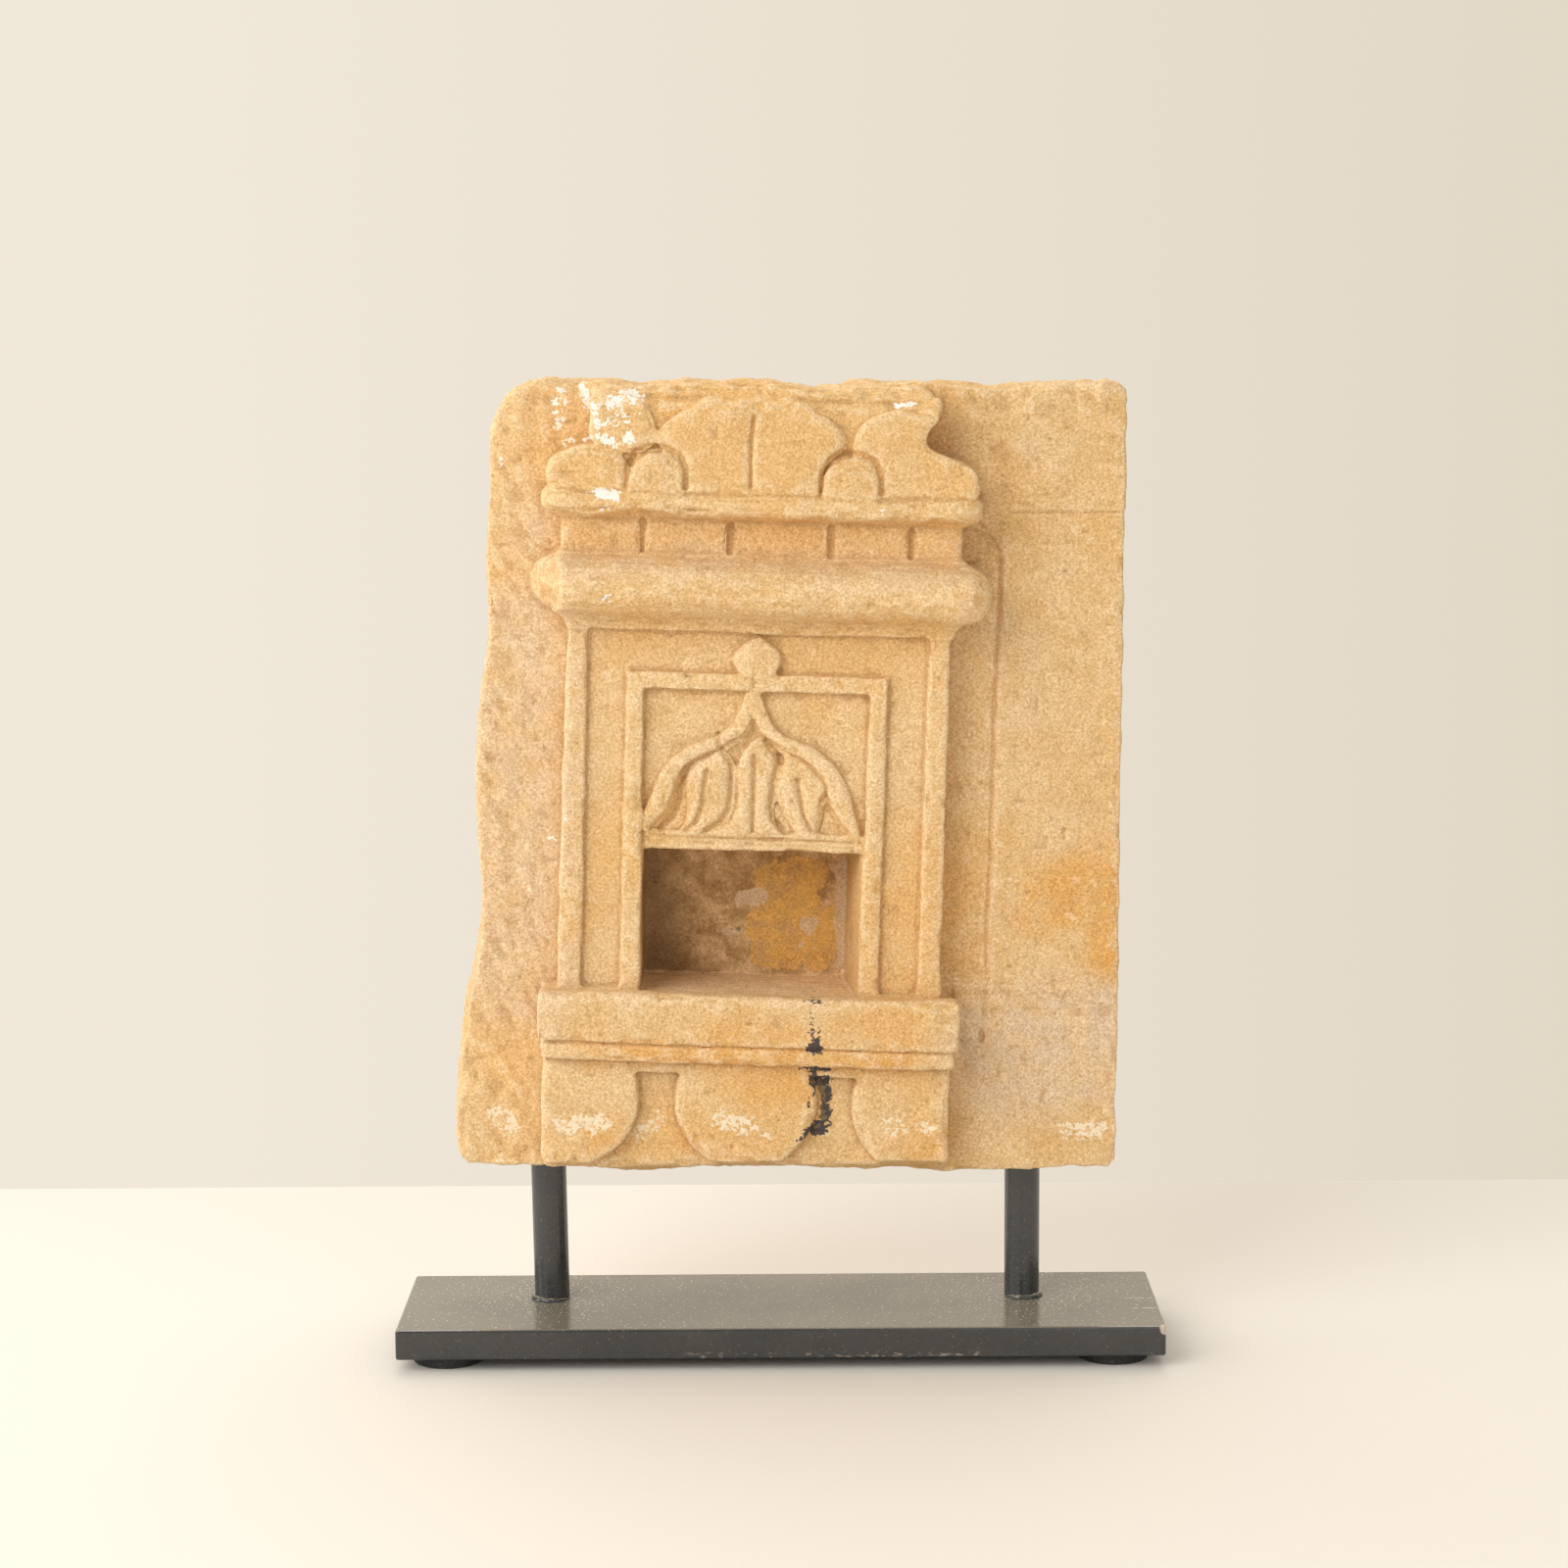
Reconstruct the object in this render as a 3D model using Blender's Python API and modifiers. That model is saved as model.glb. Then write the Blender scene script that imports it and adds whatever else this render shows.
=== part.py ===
"""A carved sandstone niche held above a steel base plate by two round rods.

X runs across, Y to the back and Z up, in metres, with the origin on the ground under the middle.
The carving leans a little clockwise in its block, so it is laid out in a frame of its own, "carving_frame":
there u runs across from the middle of the sill, v up from the top of the sill, and Y is the shared depth.
"""
import math

import bmesh
import bpy
from mathutils import Vector

# Stand
PLATE_WIDTH = 0.300
PLATE_DEPTH = 0.075
PLATE_THICKNESS = 0.012
PLATE_EDGE_ROUND = 0.0009
FOOT_DIAMETER = 0.030
FOOT_HEIGHT = 0.0047
FOOT_TAPER = 0.0012
FOOT_INSET_X = 0.019
FOOT_INSET_Y = 0.0185
ROD_DIAMETER = 0.014
ROD_LEFT_X = -0.0917
ROD_RIGHT_X = 0.0968
ROD_Y = 0.0065
ROD_LEFT_LEAN = math.radians(-0.7)
SOCKET_DEPTH = 0.032
SOCKET_CLEARANCE = 0.0003
PIECE_GAP = 0.0003

# Stone block
STONE_CLEAR_HEIGHT = 0.058
BLOCK_THICKNESS = 0.052
BLOCK_BACK_Y = 0.041
BLOCK_LEFT_BOTTOM_X = -0.1265
BLOCK_LEFT_TOP_X = -0.1085
BLOCK_RIGHT_BOTTOM_X = 0.1325
BLOCK_RIGHT_TOP_X = 0.1345
BLOCK_LEFT_BOTTOM_RISE = 0.0015
BLOCK_RIGHT_BOTTOM_RISE = -0.0015
BLOCK_LEFT_HEIGHT = 0.3085
BLOCK_RIGHT_HEIGHT = 0.3050
BLOCK_TOP_LEFT_ROUND = 0.023
BLOCK_LOWER_CORNER_CUT = 0.003
BLOCK_LEFT_FLARE = 0.006
# Hollows along the block's worn edges: place along the edge as a share, depth, half width
TOP_HOLLOWS = ((0.17, 0.0024, 0.009), (0.46, 0.0032, 0.011), (0.78, 0.0025, 0.010))
LEFT_HOLLOWS = ((0.34, 0.0050, 0.034), (0.74, 0.0023, 0.022))
BOTTOM_HOLLOWS = ((0.28, -0.0024, 0.015), (0.79, -0.0013, 0.025))
EDGE_STEPS = 26

# Carving frame
CARVING_X = -0.0115
CARVING_LEAN = math.radians(2.1)
SILL_HEIGHT = 0.072

# Border sunk into the ground on the carving's right
BORDER_HALF = 0.0928
BORDER_TOP = 0.182
BORDER_FOOT = -0.021
BORDER_SINK = 0.0014
BORDER_CORNER = 0.012

# Lower frieze with its three discs
FRIEZE_HALF = 0.0793
FRIEZE_PROJECTION = 0.014
FRIEZE_FIELD_SINK = 0.0055
FRIEZE_LEDGE = 0.0065
DISC_RADIUS = 0.0278
DISC_MIDDLE_V = -0.0430
DISC_SPACING = 0.0690
DISC_STEPS = 40
FRIEZE_FOOT_RISE = 0.0055
FRIEZE_FOOT_RUN = 0.012

# Sill
SILL_HALF = 0.0815
SILL_PROJECTION = 0.021
SILL_BLOCK = 0.0200
SILL_FILLET = 0.0060
SILL_GROOVE = 0.0011
SILL_EDGE_ROUND = 0.0012

# Frame around the niche
FRAME_FOOT_HALF = 0.0747
FRAME_HEAD_HALF = 0.0732
FRAME_PROJECTION = 0.012
FRAME_HEAD = 0.1400
OUTER_FILLET = 0.0080
CHANNEL_SINK = 0.0030
INNER_FILLET_OUTER_HALF = 0.0502
INNER_FILLET_HEAD = 0.1242
PANEL_HALF = 0.0433
PANEL_HEAD = 0.1174
PANEL_SINK = 0.0042

# Niche and its lintel
NICHE_HALF = 0.0425
NICHE_HEAD = 0.0560
NICHE_FLOOR = -0.0015
NICHE_BACK_Y = 0.024
LINTEL_HEIGHT = 0.0062
LINTEL_PROJECTION = 0.0092
LINTEL_GROOVE_V = 0.0598
LINTEL_GROOVE = 0.0009

# Ogee arch and the leaves under it
ARCH_U = -0.0013
ARCH_SPRING_V = 0.0625
ARCH_HALF = 0.0427
ARCH_RISE = 0.0540
ARCH_PROJECTION = 0.0108
ARCH_GROUND_SINK = 0.0025
ARCH_EDGE = 0.0010
LEAF_PROJECTION = 0.0098
LEAF_EDGE = 0.0012
LEAF_GROOVE_RADIUS = 0.0009
# Half outlines of the arch band from springing to apex, as shares of its half width and rise
ARCH_OUTER = ((1.0, 0.0), (0.95, 0.14), (0.87, 0.32), (0.78, 0.46), (0.60, 0.60), (0.43, 0.66),
              (0.29, 0.705), (0.18, 0.79), (0.12, 0.89), (0.075, 1.0))
ARCH_INNER_LOBE = ((0.93, 0.0), (0.78, 0.14), (0.71, 0.27), (0.67, 0.38), (0.58, 0.48), (0.42, 0.565))
ARCH_CUSP = (0.29, 0.605)
ARCH_INNER_HEAD = ((0.20, 0.66), (0.09, 0.71), (0.03, 0.79))
ARCH_INNER_APEX = (0.0, 0.86)
# Leaf outlines round from the tip, as shares of the arch's half width and rise
LEFT_LEAF = ((-0.32, 0.60), (-0.20, 0.52), (-0.163, 0.42), (-0.165, 0.30), (-0.185, 0.16), (-0.25, 0.06),
             (-0.42, -0.01), (-0.66, -0.01), (-0.60, 0.10), (-0.60, 0.24), (-0.61, 0.36), (-0.57, 0.46),
             (-0.43, 0.53))
RIGHT_LEAF = ((0.25, 0.60), (0.40, 0.53), (0.54, 0.49), (0.64, 0.40), (0.64, 0.25), (0.62, 0.12),
              (0.58, -0.01), (0.39, -0.01), (0.31, 0.09), (0.24, 0.18), (0.20, 0.30), (0.215, 0.40),
              (0.26, 0.52))
MIDDLE_LEAF = ((0.03, 0.69), (-0.09, 0.60), (-0.155, 0.48), (-0.140, 0.31), (-0.165, 0.14), (-0.24, 0.05),
               (-0.38, -0.01), (0.28, -0.01), (0.20, 0.07), (0.185, 0.16), (0.175, 0.28), (0.205, 0.42),
               (0.21, 0.52), (0.15, 0.60))
LEAF_GROOVES = (((-0.39, 0.46), (-0.41, 0.27), (-0.45, 0.14), (-0.52, 0.04)),
                ((0.02, 0.55), (0.02, 0.40), (0.01, 0.20), (0.0, 0.0)),
                ((0.41, 0.42), (0.43, 0.28), (0.45, 0.15), (0.49, 0.03)))

# Bud over the inner frame, round from its tip, as shares of its half width and height
BUD_U = -0.0003
BUD_HALF = 0.0095
BUD_FOOT = 0.1232
BUD_HEIGHT = 0.0158
BUD_PROJECTION = 0.0130
BUD_EDGE = 0.0011
BUD_OUTLINE = ((0.0, 1.0), (0.50, 0.80), (0.98, 0.45), (0.80, 0.15), (0.62, 0.0))

# Entablature: heights in the carving frame, and projections beyond the frame's face and sides
ENTABLATURE_FOOT = 0.1385
NECK_FILLET = 0.0026
NECK_STEP = 0.0018
ROLL_MIDDLE_V = 0.1570
ROLL_RADIUS = 0.0108
ROLL_CENTRE_OUT = 0.0042
ROLL_STEPS = 9
BRICK_FOOT_V = 0.1693
BRICK_HEAD_V = 0.1826
BRICK_OUT = 0.0030
BRICK_JOINTS = (-0.0451, -0.0118, 0.0264, 0.0568)
BRICK_JOINT_WIDTH = 0.0025
BRICK_JOINT_DEPTH = 0.0020
CORNICE_OUT = 0.0104
CORNICE_HEAD_V = 0.1936
CORNICE_EDGE = 0.0072
FRONT_SHARE = 1.2
CORNER_SHARE = 0.75
CORNER_STEPS = 4
ROLL_CHIP_TURN = math.radians(25)

# Crown of petals on the cornice, as shares of its half width and height over the cornice
CROWN_HALF = 0.0830
CROWN_HEIGHT = 0.0430
CROWN_FOOT_V = 0.1925
CROWN_BACK_PROJECTION = 0.0165
CROWN_PETAL_PROJECTION = 0.0238
CROWN_ARCH_PROJECTION = 0.0250
CROWN_EDGE = 0.0016
CROWN_GROOVE_RADIUS = 0.0012
CROWN_BREAK_V = 0.2255
CROWN_BREAK_SLOPE = math.radians(34)
CROWN_SILHOUETTE = ((0.965, 0.0), (0.955, 0.24), (0.87, 0.33), (0.77, 0.40), (0.715, 0.50), (0.715, 0.60),
                    (0.755, 0.72), (0.770, 0.95), (0.70, 1.05))
CROWN_LEFT_DOME = ((-0.975, 0.01), (-0.980, 0.24), (-0.91, 0.34), (-0.79, 0.41), (-0.67, 0.37),
                   (-0.610, 0.24), (-0.60, 0.01))
CROWN_LEFT_LOBE = ((-0.80, 0.46), (-0.79, 0.70), (-0.80, 0.92), (-0.68, 0.86), (-0.535, 0.76), (-0.500, 0.62),
                   (-0.490, 0.47), (-0.53, 0.38), (-0.61, 0.34), (-0.69, 0.41))
CROWN_RIGHT_BLOCK = ((0.98, 0.01), (0.97, 0.24), (0.91, 0.33), (0.80, 0.41), (0.735, 0.50), (0.742, 0.61),
                     (0.785, 0.71), (0.80, 0.92), (0.745, 0.86), (0.54, 0.77), (0.44, 0.65), (0.405, 0.48),
                     (0.41, 0.35), (0.48, 0.30), (0.515, 0.18), (0.52, 0.01))
CROWN_PETAL = ((0.0, 0.97), (0.15, 0.90), (0.28, 0.76), (0.385, 0.63), (0.432, 0.51), (0.420, 0.42),
               (0.370, 0.35), (0.325, 0.25), (0.315, 0.12), (0.315, 0.01), (0.0, 0.01))
CROWN_PETAL_U = -0.0045
CROWN_ARCH_U = 0.0368
CROWN_ARCH_SHIFT = -0.0034
CROWN_ARCH_HALF = 0.0108
CROWN_ARCH_HEIGHT = 0.0155

# How far a form runs into the mass behind it, and the least step between two faces that would else be flush
EMBED = 0.006
FLUSH_STEP = 0.0006
CUT_PAST = 0.010
CURVE_STEPS = 3
TURN_STEPS = 32

# The order of the carving, and whether each step joins its shapes on or cuts them away
STEPS = (("masses", "UNION"), ("trims", "DIFFERENCE"), ("block", "UNION"), ("sinkings", "DIFFERENCE"),
         ("relief", "UNION"), ("grooves", "DIFFERENCE"))

PLATE_FOOT_Z = FOOT_HEIGHT + PIECE_GAP
PLATE_TOP_Z = PLATE_FOOT_Z + PLATE_THICKNESS
STONE_FOOT_Z = PLATE_TOP_Z + STONE_CLEAR_HEIGHT
GROUND_Y = BLOCK_BACK_Y - BLOCK_THICKNESS
EMBED_Y = GROUND_Y + EMBED
SILL_TOP_Z = STONE_FOOT_Z + SILL_HEIGHT


def face_y(projection):
    """The depth of a face that stands out from the block's ground by a projection."""
    return GROUND_Y - projection


def clear_scene():
    """Removes every object, so the model starts from nothing."""
    for item in list(bpy.data.objects):
        bpy.data.objects.remove(item, do_unlink=True)


def make_collection(name):
    """A collection linked to the scene."""
    collection = bpy.data.collections.new(name)
    bpy.context.scene.collection.children.link(collection)
    return collection


def make_material(name, colour, roughness, metallic):
    """A plain finish for one piece."""
    material = bpy.data.materials.new(name)
    material.use_nodes = True
    shader = material.node_tree.nodes["Principled BSDF"]
    shader.inputs["Base Color"].default_value = (*colour, 1.0)
    shader.inputs["Roughness"].default_value = roughness
    shader.inputs["Metallic"].default_value = metallic
    return material


def place(name, mesh, collection, parent=None):
    """A new object for a mesh, in a collection."""
    item = bpy.data.objects.new(name, mesh)
    collection.objects.link(item)
    item.parent = parent
    return item


def make_tool(name, mesh, collection, parent=None):
    """A shape that is joined to, or cut from, the stone and never shows by itself."""
    item = place(name, mesh, collection, parent)
    item.hide_render = True
    item.display_type = "WIRE"
    return item


def box_mesh(name, low, high):
    """A box between two corners."""
    shape = bmesh.new()
    bmesh.ops.create_cube(shape, size=1.0)
    low = Vector(low)
    size = Vector(high) - low
    for vertex in shape.verts:
        share = vertex.co + Vector((0.5, 0.5, 0.5))
        vertex.co = low + Vector(a * b for a, b in zip(share, size))
    mesh = bpy.data.meshes.new(name)
    shape.to_mesh(mesh)
    shape.free()
    return mesh


def cylinder_mesh(name, radius_foot, radius_head, height, segments=TURN_STEPS):
    """A round bar or cone that stands on its own origin."""
    shape = bmesh.new()
    bmesh.ops.create_cone(
        shape, cap_ends=True, segments=segments, radius1=radius_foot, radius2=radius_head, depth=height
    )
    bmesh.ops.translate(shape, verts=shape.verts, vec=(0, 0, height / 2))
    mesh = bpy.data.meshes.new(name)
    shape.to_mesh(mesh)
    shape.free()
    mesh.shade_smooth()
    mesh.set_sharp_from_angle(angle=math.radians(40))
    return mesh


def solid_from_curve(name, curve, collection, parent, turned=False):
    """The closed mesh of a curve. A turned curve is drawn in u and v and faces the front."""
    guide = bpy.data.objects.new(name + "_guide", curve)
    if turned:
        guide.rotation_euler = (math.pi / 2, 0, 0)
    collection.objects.link(guide)
    bpy.context.view_layer.update()
    evaluated = guide.evaluated_get(bpy.context.evaluated_depsgraph_get())
    mesh = bpy.data.meshes.new_from_object(evaluated)
    mesh.name = name
    shape = bmesh.new()
    shape.from_mesh(mesh)
    bmesh.ops.remove_doubles(shape, verts=shape.verts, dist=0.00001)
    bmesh.ops.dissolve_limit(shape, angle_limit=math.radians(0.5), verts=shape.verts, edges=shape.edges)
    bmesh.ops.recalc_face_normals(shape, faces=shape.faces)
    shape.to_mesh(mesh)
    shape.free()
    item = make_tool(name, mesh, collection)
    item.matrix_world = guide.matrix_world.copy()
    item.parent = parent
    bpy.data.objects.remove(guide, do_unlink=True)
    return item


def outline_solid(name, points, front, back, collection, parent, corners=None, edge=0.0):
    """A flat outline in u and v, solid from a front depth to a back depth.

    Points are joined by straight lines, or by a smooth curve where corners lists the sharp ones.
    Edge is the width of the slope along the front's rim.
    """
    curve = bpy.data.curves.new(name, "CURVE")
    curve.dimensions = "2D"
    curve.fill_mode = "BOTH"
    curve.extrude = (back - front) / 2
    curve.resolution_u = CURVE_STEPS
    if corners is None:
        spline = curve.splines.new("POLY")
        spline.points.add(len(points) - 1)
        for knot, (u, v) in zip(spline.points, points):
            knot.co = (u, v, 0, 1)
    else:
        spline = curve.splines.new("BEZIER")
        spline.bezier_points.add(len(points) - 1)
        for index, (knot, (u, v)) in enumerate(zip(spline.bezier_points, points)):
            knot.co = (u, v, 0)
            kind = "VECTOR" if index in corners else "AUTO"
            knot.handle_left_type = kind
            knot.handle_right_type = kind
    spline.use_cyclic_u = True
    item = solid_from_curve(name, curve, collection, parent, turned=True)
    item.location.y = (front + back) / 2
    if edge:
        rim = item.modifiers.new("rim", "BEVEL")
        rim.width = edge
        rim.segments = 1
        rim.limit_method = "ANGLE"
        rim.angle_limit = math.radians(60)
    return item


def groove_solid(name, points, depth_y, radius, collection, parent):
    """A round bar along a line in u and v, half sunk in a face, for cutting a groove."""
    curve = bpy.data.curves.new(name, "CURVE")
    curve.dimensions = "3D"
    curve.bevel_depth = radius
    curve.bevel_resolution = 1
    curve.use_fill_caps = True
    spline = curve.splines.new("POLY")
    spline.points.add(len(points) - 1)
    for knot, (u, v) in zip(spline.points, points):
        knot.co = (u, depth_y, v, 1)
    return solid_from_curve(name, curve, collection, parent)


def mirrored(half):
    """A closed outline from its right half, listed from the foot up, with no point on the axis."""
    return list(half) + [(-u, v) for u, v in reversed(half)]


def scaled(shares, half, height, middle_u, foot_v, side=1):
    """An outline in metres from shares of a half width and a height."""
    return [(middle_u + side * share_u * half, foot_v + share_v * height) for share_u, share_v in shares]


def plan_ring(half, front, corner):
    """One level of a block that stands on the ground: its plan, with rounded front corners."""
    ring = [(half, EMBED_Y)]
    for step in range(CORNER_STEPS + 1):
        turn = math.pi / 2 * step / CORNER_STEPS
        ring.append((half - corner + corner * math.cos(turn), front + corner - corner * math.sin(turn)))
    return ring + [(-u, y) for u, y in reversed(ring)]


def stacked_mesh(name, levels):
    """A moulded block drawn up level by level: each is a height, half width, projection and corner."""
    shape = bmesh.new()
    first = plan_ring(levels[0][1], face_y(levels[0][2]), levels[0][3])
    bmesh.ops.create_circle(shape, cap_ends=True, segments=len(first), radius=1.0)
    face = shape.faces[:][0]
    for index, (height, half, projection, corner) in enumerate(levels):
        if index:
            drawn = bmesh.ops.extrude_face_region(shape, geom=[face])
            if index > 1:
                bmesh.ops.delete(shape, geom=[face], context="FACES_ONLY")
            face = [item for item in drawn["geom"] if isinstance(item, bmesh.types.BMFace)][0]
        for vertex, (u, y) in zip(list(face.verts), plan_ring(half, face_y(projection), corner)):
            vertex.co = (u, y, height)
    bmesh.ops.remove_doubles(shape, verts=shape.verts, dist=0.00001)
    bmesh.ops.recalc_face_normals(shape, faces=shape.faces)
    mesh = bpy.data.meshes.new(name)
    shape.to_mesh(mesh)
    shape.free()
    return mesh


def join_step(stone, name, operation, tools):
    """One step of the carving: all the shapes of a collection are joined to, or cut from, the stone."""
    step = stone.modifiers.new(name, "BOOLEAN")
    step.operation = operation
    step.operand_type = "COLLECTION"
    step.collection = tools
    step.solver = "EXACT"


def worn_edge(start, end, hollows):
    """Points along an edge from start to end, with hollows worn into its left-hand side."""
    start = Vector(start)
    along = Vector(end) - start
    inward = Vector((-along.y, along.x)).normalized()
    points = []
    for step in range(EDGE_STEPS):
        share = step / EDGE_STEPS
        depth = 0.0
        for place_share, hollow_depth, half_width in hollows:
            away = (share - place_share) * along.length / half_width
            depth += hollow_depth * math.exp(-away * away)
        if step == 0 or abs(depth) > PIECE_GAP / 2:
            spot = start + along * share + inward * depth
            points.append((spot.x, spot.y))
    return points


def block_outline():
    """The block's broken outline, counter-clockwise from the lower left corner, in X and Z."""
    cut = BLOCK_LOWER_CORNER_CUT
    left_foot = STONE_FOOT_Z + BLOCK_LEFT_BOTTOM_RISE
    right_foot = STONE_FOOT_Z + BLOCK_RIGHT_BOTTOM_RISE
    left_top = STONE_FOOT_Z + BLOCK_LEFT_HEIGHT
    right_top = STONE_FOOT_Z + BLOCK_RIGHT_HEIGHT
    bend = BLOCK_TOP_LEFT_ROUND
    points = worn_edge((BLOCK_LEFT_BOTTOM_X + cut, left_foot), (BLOCK_RIGHT_BOTTOM_X - cut, right_foot),
                       BOTTOM_HOLLOWS)
    points.append((BLOCK_RIGHT_BOTTOM_X - cut, right_foot))
    points.append((BLOCK_RIGHT_BOTTOM_X, right_foot + cut))
    points.append((BLOCK_RIGHT_TOP_X, right_top - cut / 2))
    points += worn_edge((BLOCK_RIGHT_TOP_X - cut, right_top), (BLOCK_LEFT_TOP_X + bend, left_top),
                        tuple((1 - share, depth, half) for share, depth, half in TOP_HOLLOWS))
    for step in range(CORNER_STEPS * 2 + 1):
        turn = math.pi / 2 * (1 + step / (CORNER_STEPS * 2))
        points.append((BLOCK_LEFT_TOP_X + bend * (1 + math.cos(turn)), left_top - bend * (1 - math.sin(turn))))
    points += worn_edge((BLOCK_LEFT_TOP_X, left_top - bend), (BLOCK_LEFT_BOTTOM_X, left_foot + cut),
                        tuple((1 - share, depth, half) for share, depth, half in LEFT_HOLLOWS))[1:]
    points.append((BLOCK_LEFT_BOTTOM_X, left_foot + cut))
    return points


def add_block(joined, outline):
    """The plain block, wider at its back on the broken left side."""
    block = outline_solid("block", outline, GROUND_Y, BLOCK_BACK_Y, joined, None)
    for vertex in block.data.vertices:
        if vertex.co.z < 0 and vertex.co.x < 0:
            share = vertex.co.x / BLOCK_LEFT_BOTTOM_X
            vertex.co.x -= BLOCK_LEFT_FLARE * share ** 4


def disc_outline(middle_u):
    """A frieze disc, cut off by the sill above it and by the frieze's ends."""
    points = []
    for step in range(DISC_STEPS):
        turn = 2 * math.pi * step / DISC_STEPS
        u = middle_u + DISC_RADIUS * math.cos(turn)
        v = DISC_MIDDLE_V + DISC_RADIUS * math.sin(turn)
        spot = (max(-FRIEZE_HALF, min(FRIEZE_HALF, u)), min(-SILL_BLOCK, v))
        if not points or (Vector(spot) - Vector(points[-1])).length > 0.0001:
            points.append(spot)
    return points


def add_lower_frieze(joined, frame):
    """The sunk field under the sill, its three discs and the thin ledge over them."""
    field = face_y(FRIEZE_PROJECTION - FRIEZE_FIELD_SINK)
    face = face_y(FRIEZE_PROJECTION)
    foot = -SILL_HEIGHT - CUT_PAST
    sill_foot = -SILL_BLOCK - SILL_FILLET
    half = FRIEZE_HALF - 2 * FLUSH_STEP
    mesh = box_mesh("frieze_field", (-half, field, foot), (half, EMBED_Y, -SILL_BLOCK - FLUSH_STEP))
    make_tool("frieze_field", mesh, joined, frame)
    half = FRIEZE_HALF - FLUSH_STEP
    mesh = box_mesh("frieze_ledge", (-half, face + FLUSH_STEP, sill_foot - FRIEZE_LEDGE),
                    (half, EMBED_Y, -SILL_BLOCK))
    make_tool("frieze_ledge", mesh, joined, frame)
    for name, middle_u in (("left", -DISC_SPACING), ("middle", 0.0), ("right", DISC_SPACING)):
        outline_solid("frieze_disc_" + name, disc_outline(middle_u), face, EMBED_Y, joined, frame,
                      edge=LEAF_EDGE)


def add_sill(joined, frame):
    """The sill block over a fillet, parted by a groove."""
    small = SILL_EDGE_ROUND
    groove_v = -SILL_BLOCK
    foot = -SILL_BLOCK - SILL_FILLET
    half = SILL_HALF
    out = SILL_PROJECTION
    levels = [
        (foot - small, half - 2 * small, out - 2 * small, small),
        (foot, half - small, out - small, small),
        (groove_v - SILL_GROOVE, half - small, out - small, small),
        (groove_v, half - 2 * small, out - 2 * small, small),
        (groove_v + SILL_GROOVE, half, out, small),
        (-small, half, out, small),
        (0.0, half - small, out - small, small),
    ]
    make_tool("sill", stacked_mesh("sill", levels), joined, frame)


def make_frame(parts, frame):
    """The frame's plain slab, from inside the sill up into the entablature: the carving starts from it."""
    levels = [
        (-EMBED, FRAME_FOOT_HALF, FRAME_PROJECTION, LEAF_EDGE),
        (FRAME_HEAD, FRAME_HEAD_HALF, FRAME_PROJECTION, LEAF_EDGE),
    ]
    return place("stone_niche", stacked_mesh("stone_niche", levels), parts, frame)


def entablature_levels():
    """The mouldings from the neck under the roll to the top of the cornice."""
    profile = [
        (ENTABLATURE_FOOT, -0.0006),
        (FRAME_HEAD, NECK_STEP / 2),
        (FRAME_HEAD + NECK_FILLET, NECK_STEP),
        (FRAME_HEAD + NECK_FILLET + 0.0006, NECK_STEP / 2),
        (FRAME_HEAD + NECK_FILLET + 0.0012, NECK_STEP * 1.6),
        (FRAME_HEAD + 2 * NECK_FILLET, NECK_STEP * 2),
    ]
    for step in range(ROLL_STEPS):
        turn = math.radians(-66 + 136 * step / (ROLL_STEPS - 1))
        profile.append((ROLL_MIDDLE_V + ROLL_RADIUS * math.sin(turn),
                        ROLL_CENTRE_OUT + ROLL_RADIUS * math.cos(turn)))
    profile += [
        (BRICK_FOOT_V - 0.0010, BRICK_OUT + 0.0024),
        (BRICK_FOOT_V, BRICK_OUT + 0.0016),
        (BRICK_FOOT_V + 0.0008, BRICK_OUT),
        (BRICK_HEAD_V, BRICK_OUT),
        (BRICK_HEAD_V + 0.0012, BRICK_OUT + 0.30 * (CORNICE_OUT - BRICK_OUT)),
        (CORNICE_HEAD_V - CORNICE_EDGE - 0.0010, BRICK_OUT + 0.80 * (CORNICE_OUT - BRICK_OUT)),
        (CORNICE_HEAD_V - CORNICE_EDGE, CORNICE_OUT),
        (CORNICE_HEAD_V - 0.0020, CORNICE_OUT),
        (CORNICE_HEAD_V, CORNICE_OUT - 0.0022),
    ]
    levels = []
    for height, out in profile:
        corner = max(0.0008, CORNER_SHARE * out)
        levels.append((height, FRAME_HEAD_HALF + out, FRAME_PROJECTION + FRONT_SHARE * out, corner))
    return levels


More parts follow.
